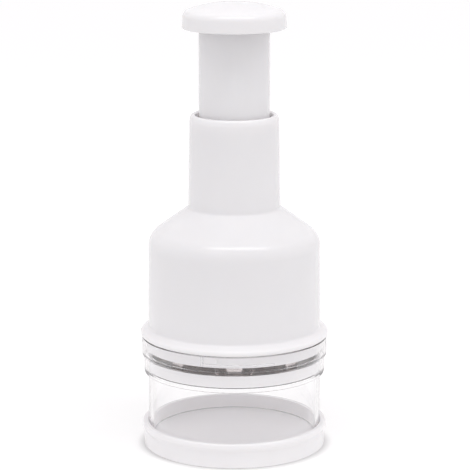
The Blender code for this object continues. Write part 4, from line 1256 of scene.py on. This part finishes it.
class CHOPPER_OT_scraper(bpy.types.Operator):
    """Make the scraper plate with its rim and its slots for the blades."""

    bl_idname = "chopper.scraper"
    bl_label = "Scraper plate"

    def execute(self, context):
        size, shapes, cup = settings("plate"), settings("shapes"), settings("cup")
        fine, soft = shapes.fine_edge, shapes.soft_edge
        bottom, top = PLATE_LOW.z, PLATE_HIGH.z
        rim_r = PLATE_HIGH.x
        rim_bore = rim_r - size.rim_wall
        rim_bottom = bottom + size.web_drop
        web_r = cup.radius - cup.wall - shapes.gap
        web_top = bottom + size.web
        corners = [
            (0, web_top, 0),
            (rim_bore, web_top, soft),
            (rim_bore, top, soft),
            (rim_r, top, soft),
            (rim_r, rim_bottom, fine),
            (web_r, rim_bottom, fine),
            (web_r, bottom, soft),
            (0, bottom, 0),
        ]
        outline = rounded(corners, shapes.round_steps, closed=False)
        made = lathe("scraper_moulding", outline, shapes.lathe_steps)
        slot_bottom, slot_top = bottom - shapes.overrun, web_top + shapes.overrun
        tools = blade_slots("scraper", size.slot_clearance, slot_bottom, slot_top)
        combine(made, tools, "DIFFERENCE")
        seat(soften(made), "scraper", "white_plastic", "white_plastic", "scraper_plate")
        return {"FINISHED"}


# Shaft and spring

def square_section(side, corner, steps):
    """A square with rounded corners, which starts as the CAD shaft's does."""
    half = side / 2
    corners = [(half, half), (-half, half), (-half, -half), (half, -half)]
    return rounded([(x, y, corner) for x, y in corners], steps)


def shaft_blank():
    """The twisted square part of the shaft. It turns with height only over its twist zone."""
    size, shapes = settings("steel"), settings("shapes")
    start = WHEEL_LOW.z - size.lead_in
    end = WHEEL_HIGH.z + STROKE + shapes.gap
    section = square_section(size.shaft_side, size.shaft_corner, shapes.round_steps)
    rings = []
    for level in range(size.shaft_levels + 1):
        height = SHAFT_LOW.z + (end - SHAFT_LOW.z) * level / size.shaft_levels
        turn = -size.turn / STROKE * max(height - start, 0)
        cos, sin = math.cos(turn), math.sin(turn)
        rings.append([(x * cos - y * sin, x * sin + y * cos, height) for x, y in section])
    return loft("drive_shaft_bar", rings), end


class CHOPPER_OT_shaft(bpy.types.Operator):
    """Make the twisted drive shaft with its journal, collar and threaded foot."""

    bl_idname = "chopper.shaft"
    bl_label = "Drive shaft"

    def execute(self, context):
        size, shapes, plunger = settings("steel"), settings("shapes"), settings("plunger")
        fine = shapes.fine_edge
        made, end = shaft_blank()
        collar_top = knob_bottom() - plunger.web_drop - shapes.gap
        collar_bottom = collar_top - size.collar_height
        groove_top = CLIP_HIGH.z + shapes.gap
        groove_bottom = WASHER_HIGH.z - shapes.gap
        journal_bottom = end - size.lead_in / 2
        corners = [
            (0, SHAFT_HIGH.z, 0),
            (size.journal, SHAFT_HIGH.z, shapes.soft_edge),
            (size.journal, groove_top, fine),
            (size.clip_neck, groove_top, fine),
            (size.clip_neck, groove_bottom, fine),
            (size.journal, groove_bottom, fine),
            (size.journal, collar_top, fine),
            (size.collar, collar_top, fine),
            (size.collar, collar_bottom, fine),
            (size.journal, collar_bottom, fine),
            (size.journal, journal_bottom, 0),
            (0, journal_bottom, 0),
        ]
        outline = rounded(corners, shapes.round_steps, closed=False)
        journal = lathe("shaft_journal", outline, shapes.lathe_steps // 3)
        hole = disc(size.screw_bore, (0, 0), shapes.lathe_steps // 4)
        foot = SHAFT_LOW.z
        drill = prism("shaft_drill", hole, foot - shapes.overrun, foot + size.screw_depth)
        combine(made, [journal], "UNION")
        combine(made, [drill], "DIFFERENCE")
        made.name = "drive_shaft_turned"
        seat(soften(made), "blade", "steel", "turned_steel", "drive_shaft")
        return {"FINISHED"}


def spring_height(turn):
    """The height of the wire's middle after this many turns: close at both ends, open between."""
    size, shapes = settings("steel"), settings("shapes")
    bottom, top = SPRING_LOW.z + size.wire, SPRING_HIGH.z - size.wire
    close = 2 * size.wire + shapes.gap
    pitch = (top - bottom - 2 * size.end_turns * close) / size.open_turns
    below = min(turn, size.end_turns)
    above = max(turn - size.end_turns - size.open_turns, 0)
    return bottom + (below + above) * close + (turn - below - above) * pitch


class CHOPPER_OT_spring(bpy.types.Operator):
    """Make the return spring as a wound wire that the press squeezes."""

    bl_idname = "chopper.spring"
    bl_label = "Return spring"

    def execute(self, context):
        size = settings("steel")
        turns = size.open_turns + 2 * size.end_turns
        last = turns * size.turn_steps
        section = disc(size.wire, (size.coil, 0), size.wire_steps)
        rings = []
        for index in range(last + 1):
            turn = index / size.turn_steps
            middle = spring_height(turn)
            rings.append([
                (*around(radius, FULL_TURN * turn), middle + rise) for radius, rise in section
            ])
        made = loft("spring_coil", rings)
        seat(soften(made, WIRE_CREASE), "housing", "steel", "spring_wire", "return_spring")
        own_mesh(made)
        return {"FINISHED"}


class CHOPPER_OT_mechanism(bpy.types.Operator):
    """Finish the CAD pieces inside the housing that keep their own shape."""

    bl_idname = "chopper.mechanism"
    bl_label = "Mechanism"

    def execute(self, context):
        milky = ("neck_bush", "carrier", "ratchet_ring", "ratchet_cover", "pawl_wheel")
        for name, node in NODES.items():
            if node.hide_render:
                continue
            node.data.shade_smooth()
            node.data.set_sharp_from_angle(angle=CREASE)
            dress(node, "milky_plastic" if name in milky else "turned_steel")
        return {"FINISHED"}


# Stage

def fade(tree, distance, start, reach, near, far):
    """A smooth change from the near value at the start to the far one at the reach."""
    made = tree.nodes.new("ShaderNodeMapRange")
    made.interpolation_type = "SMOOTHSTEP"
    made.inputs["From Min"].default_value = start
    made.inputs["From Max"].default_value = reach
    made.inputs["To Min"].default_value = near
    made.inputs["To Max"].default_value = far
    tree.links.new(distance, made.inputs["Value"])
    return made.outputs["Result"]


def floor_material():
    """A matt floor over a lit table, which brightens the chopper from below.

    To the camera, in gloss and through the cup it glows pale, all but close round the chopper,
    where the glow is held off: a painted shadow added to the real one.
    """
    look = settings("stage")
    made = bpy.data.materials.new("stage_floor")
    made.use_nodes = True
    tree = made.node_tree
    calculate = NodeMath(tree)
    shader = tree.nodes["Principled BSDF"]
    shader.inputs["Base Color"].default_value = (*look.floor, 1)
    shader.inputs["Roughness"].default_value = 1
    shader.inputs["Specular IOR Level"].default_value = 0
    path = tree.nodes.new("ShaderNodeLightPath")
    seen = calculate("MAXIMUM", path.outputs["Is Camera Ray"], path.outputs["Is Glossy Ray"])
    seen = calculate("MAXIMUM", seen, path.outputs["Is Transmission Ray"])
    reach = tree.nodes.new("ShaderNodeVectorMath")
    reach.operation = "LENGTH"
    tree.links.new(tree.nodes.new("ShaderNodeTexCoord").outputs["Object"], reach.inputs[0])
    distance = reach.outputs["Value"]
    table = fade(tree, distance, look.table_start, look.table_reach, look.table_glow, 0)
    # Painted shadow: the seen glow is held off close round the chopper, so the floor is darker there
    ring = fade(tree, distance, look.shadow_start, look.shadow_reach, 0, 1)
    pale = fade(
        tree, distance, look.shadow_reach, look.glow_reach, look.near_glow, look.floor_glow
    )
    unseen = calculate("MULTIPLY", calculate("SUBTRACT", 1, seen), table)
    shown = calculate("MULTIPLY", calculate("MULTIPLY", seen, ring), pale)
    glow = calculate("ADD", unseen, shown)
    tree.links.new(glow, shader.inputs["Emission Strength"])
    return made


def tent_light():
    """A light tent: brightest at the horizon, dimmer overhead, with the camera's gap in front."""
    look = settings("stage")
    world = bpy.data.worlds.new("light_tent")
    world.use_nodes = True
    bpy.context.scene.world = world
    tree = world.node_tree
    direction = tree.nodes.new("ShaderNodeTexCoord").outputs["Generated"]
    split = tree.nodes.new("ShaderNodeSeparateXYZ")
    tree.links.new(direction, split.inputs["Vector"])
    calculate = NodeMath(tree)
    x, y, z = split.outputs["X"], split.outputs["Y"], split.outputs["Z"]
    up = calculate("MAXIMUM", z, 0)
    front = calculate("MAXIMUM", calculate("MULTIPLY", y, -1), 0)
    front = calculate("POWER", front, look.front_focus)
    sides = calculate("MULTIPLY", calculate("MULTIPLY", x, x), look.side_light)
    level = calculate("ADD", calculate("MULTIPLY", up, look.zenith - look.horizon), look.horizon)
    level = calculate("ADD", level, sides)
    level = calculate("SUBTRACT", level, calculate("MULTIPLY", front, look.front_dip))
    background = tree.nodes["Background"]
    background.inputs["Color"].default_value = (*look.tent, 1)
    tree.links.new(level, background.inputs["Strength"])


def softbox():
    """A wide lamp overhead that faces down."""
    look = settings("stage")
    lamp = bpy.data.lights.new("softbox_overhead", "AREA")
    lamp.energy = look.softbox
    lamp.shape = "RECTANGLE"
    lamp.size, lamp.size_y = look.softbox_width, look.softbox_depth
    obj = bpy.data.objects.new("softbox_overhead", lamp)
    bpy.context.scene.collection.objects.link(obj)
    obj.location = look.softbox_place


def camera():
    """The camera at the photograph's distance, height and angle."""
    look = settings("stage")
    scene = bpy.context.scene
    made = bpy.data.cameras.new("camera")
    made.sensor_width = look.sensor
    made.lens = look.sensor * look.lens_share
    made.clip_end = look.floor_size
    obj = bpy.data.objects.new("camera", made)
    scene.collection.objects.link(obj)
    obj.location = (look.camera_side, -look.camera_distance, look.camera_height)
    obj.rotation_euler = (QUARTER - look.camera_pitch, 0, 0)
    scene.camera = obj


class CHOPPER_OT_stage(bpy.types.Operator):
    """Set up the floor, the light tent, the softbox and the camera."""

    bl_idname = "chopper.stage"
    bl_label = "Stage"

    def execute(self, context):
        context.scene.view_settings.view_transform = "Standard"
        shape = bmesh.new()
        half = settings("stage").floor_size / 2
        bmesh.ops.create_grid(shape, x_segments=1, y_segments=1, size=half)
        floor = as_object("floor", shape)
        floor.data.materials.append(floor_material())
        tent_light()
        softbox()
        camera()
        return {"FINISHED"}


STEPS = (
    CHOPPER_OT_base_cap,
    CHOPPER_OT_cup,
    CHOPPER_OT_scraper,
    CHOPPER_OT_blades,
    CHOPPER_OT_holder,
    CHOPPER_OT_housing,
    CHOPPER_OT_plunger,
    CHOPPER_OT_knob,
    CHOPPER_OT_shaft,
    CHOPPER_OT_spring,
    CHOPPER_OT_mechanism,
    CHOPPER_OT_stage,
)

GROUPS = {
    "shapes": ChopperShapes,
    "base_cap": BaseCapSizes,
    "cup": CupSizes,
    "housing": HousingSizes,
    "boss": HousingBossSizes,
    "plunger": PlungerSizes,
    "plate": PlateSizes,
    "blades": BladeSizes,
    "holder": HolderSizes,
    "steel": SteelSizes,
    "finishes": ChopperFinishes,
    "stage": StageSettings,
}


class CHOPPER_PT_panel(bpy.types.Panel):
    """Lists the pieces in the order in which they are made."""

    bl_idname = "CHOPPER_PT_panel"
    bl_label = "Garlic chopper"
    bl_space_type = "VIEW_3D"
    bl_region_type = "UI"
    bl_category = "Garlic Chopper"

    def draw(self, context):
        for step in STEPS:
            self.layout.operator(step.bl_idname)


def register():
    for name, group in GROUPS.items():
        bpy.utils.register_class(group)
        setattr(bpy.types.Scene, "chopper_" + name, PointerProperty(type=group))
    for step in STEPS:
        bpy.utils.register_class(step)
    bpy.utils.register_class(CHOPPER_PT_panel)


def unregister():
    bpy.utils.unregister_class(CHOPPER_PT_panel)
    for step in reversed(STEPS):
        bpy.utils.unregister_class(step)
    for name, group in reversed(GROUPS.items()):
        delattr(bpy.types.Scene, "chopper_" + name)
        bpy.utils.unregister_class(group)


def main():
    register()
    bpy.ops.chopper.base_cap()
    bpy.ops.chopper.cup()
    bpy.ops.chopper.scraper()
    bpy.ops.chopper.blades()
    bpy.ops.chopper.holder()
    bpy.ops.chopper.housing()
    bpy.ops.chopper.plunger()
    bpy.ops.chopper.knob()
    bpy.ops.chopper.shaft()
    bpy.ops.chopper.spring()
    bpy.ops.chopper.mechanism()
    bpy.ops.chopper.stage()


if __name__ == "__main__":
    main()
